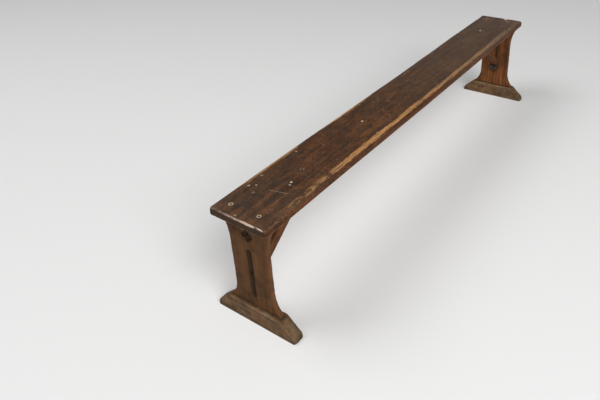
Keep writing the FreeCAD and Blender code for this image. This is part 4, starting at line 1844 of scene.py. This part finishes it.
@dataclass(frozen=True)
class Studio:
    """A pale floor that sweeps up at its rim, a key behind the bench, a fill in front, and the camera."""

    camera_place: tuple[float, float, float] = (-2.0713, -1.1107, 1.5506)
    azimuth: float = -53.70
    elevation: float = 27.31
    roll: float = -2.55
    lens: float = 35.36
    shift: tuple[float, float] = (-0.057, -0.1445)
    floor_radius: float = 11.0
    floor_sides: int = 96
    sweep_radius: float = 2.0
    wall_height: float = 3.4
    floor_colour: Colour = (0.8, 0.8, 0.797)
    sky_strength: float = 0.17
    softboxes: tuple[Softbox, ...] = (
        Softbox("key_softbox", (-2.8, 4.0, 6.8), 4.5, 250.0),
        Softbox("fill_softbox", (-3.8, -5.8, 6.2), 5.2, 720.0),
    )

    def camera(self) -> None:
        """Make the camera at its viewing angle."""
        turn, tilt, lean = (math.radians(a) for a in (self.azimuth, self.elevation, self.roll))
        back = Vector((math.sin(turn) * math.cos(tilt), -math.cos(turn) * math.cos(tilt), math.sin(tilt)))
        level = Vector((0, 0, 1)).cross(back).normalized()
        above = back.cross(level)
        right = math.cos(lean) * level + math.sin(lean) * above
        up = math.cos(lean) * above - math.sin(lean) * level
        data = bpy.data.cameras.new("camera")
        data.lens = self.lens
        data.sensor_width = 36.0
        data.shift_x, data.shift_y = self.shift
        data.clip_end = 100.0
        camera = bpy.data.objects.new("camera", data)
        bpy.context.collection.objects.link(camera)
        rotation = Matrix((right, up, back)).transposed().to_4x4()
        camera.matrix_world = Matrix.Translation(self.camera_place) @ rotation
        bpy.context.scene.camera = camera

    def floor(self) -> None:
        """Lay a plain pale floor whose rim sweeps up into a wall."""
        flat = self.floor_radius - self.sweep_radius
        section = [(flat * step / 6, 0.0) for step in range(1, 7)]
        for step in range(1, 13):
            angle = math.radians(90 * step / 12)
            section.append((flat + self.sweep_radius * math.sin(angle),
                            self.sweep_radius * (1 - math.cos(angle))))
        section.append((self.floor_radius, self.wall_height))
        work = bmesh.new()
        centre = work.verts.new((0, 0, 0))
        sides = self.floor_sides
        rings = [[work.verts.new((r * math.cos(math.tau * k / sides), r * math.sin(math.tau * k / sides), z))
                  for k in range(sides)] for r, z in section]
        for k in range(sides):
            work.faces.new((centre, rings[0][k], rings[0][(k + 1) % sides]))
            for low, high in zip(rings, rings[1:]):
                work.faces.new((low[k], high[k], high[(k + 1) % sides], low[(k + 1) % sides]))
        mesh = bpy.data.meshes.new("floor")
        work.to_mesh(mesh)
        work.free()
        mesh.shade_smooth()
        floor = bpy.data.objects.new("floor", mesh)
        bpy.context.collection.objects.link(floor)
        shader = ShaderWriter("floor_paper")
        mesh.materials.append(shader.surface((*self.floor_colour, 1.0), 0.9, 0.1))

    def sky(self) -> None:
        """Light the room dimly and evenly from all round."""
        world = bpy.data.worlds.new("studio")
        world.use_nodes = True
        bpy.context.scene.world = world
        writer = NodeWriter(world.node_tree)
        light = writer.add("ShaderNodeBackground", {"Color": (1, 1, 1, 1), "Strength": self.sky_strength})
        output = writer.add("ShaderNodeOutputWorld")
        writer.tree.links.new(light.outputs[0], output.inputs["Surface"])

    def build(self) -> None:
        """Set up the whole studio."""
        self.camera()
        self.floor()
        self.sky()
        for softbox in self.softboxes:
            softbox.hang()
        bpy.context.scene.view_settings.view_transform = "Standard"


def main() -> None:
    """Build the bench round its frame."""
    logging.basicConfig(level=logging.INFO, format="%(name)s: %(message)s")
    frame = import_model()
    Studio().build()
    bench = Bench(frame)
    bench.make_seat()
    for end in End:
        bench.make_end(end)


if __name__ == "__main__":
    main()
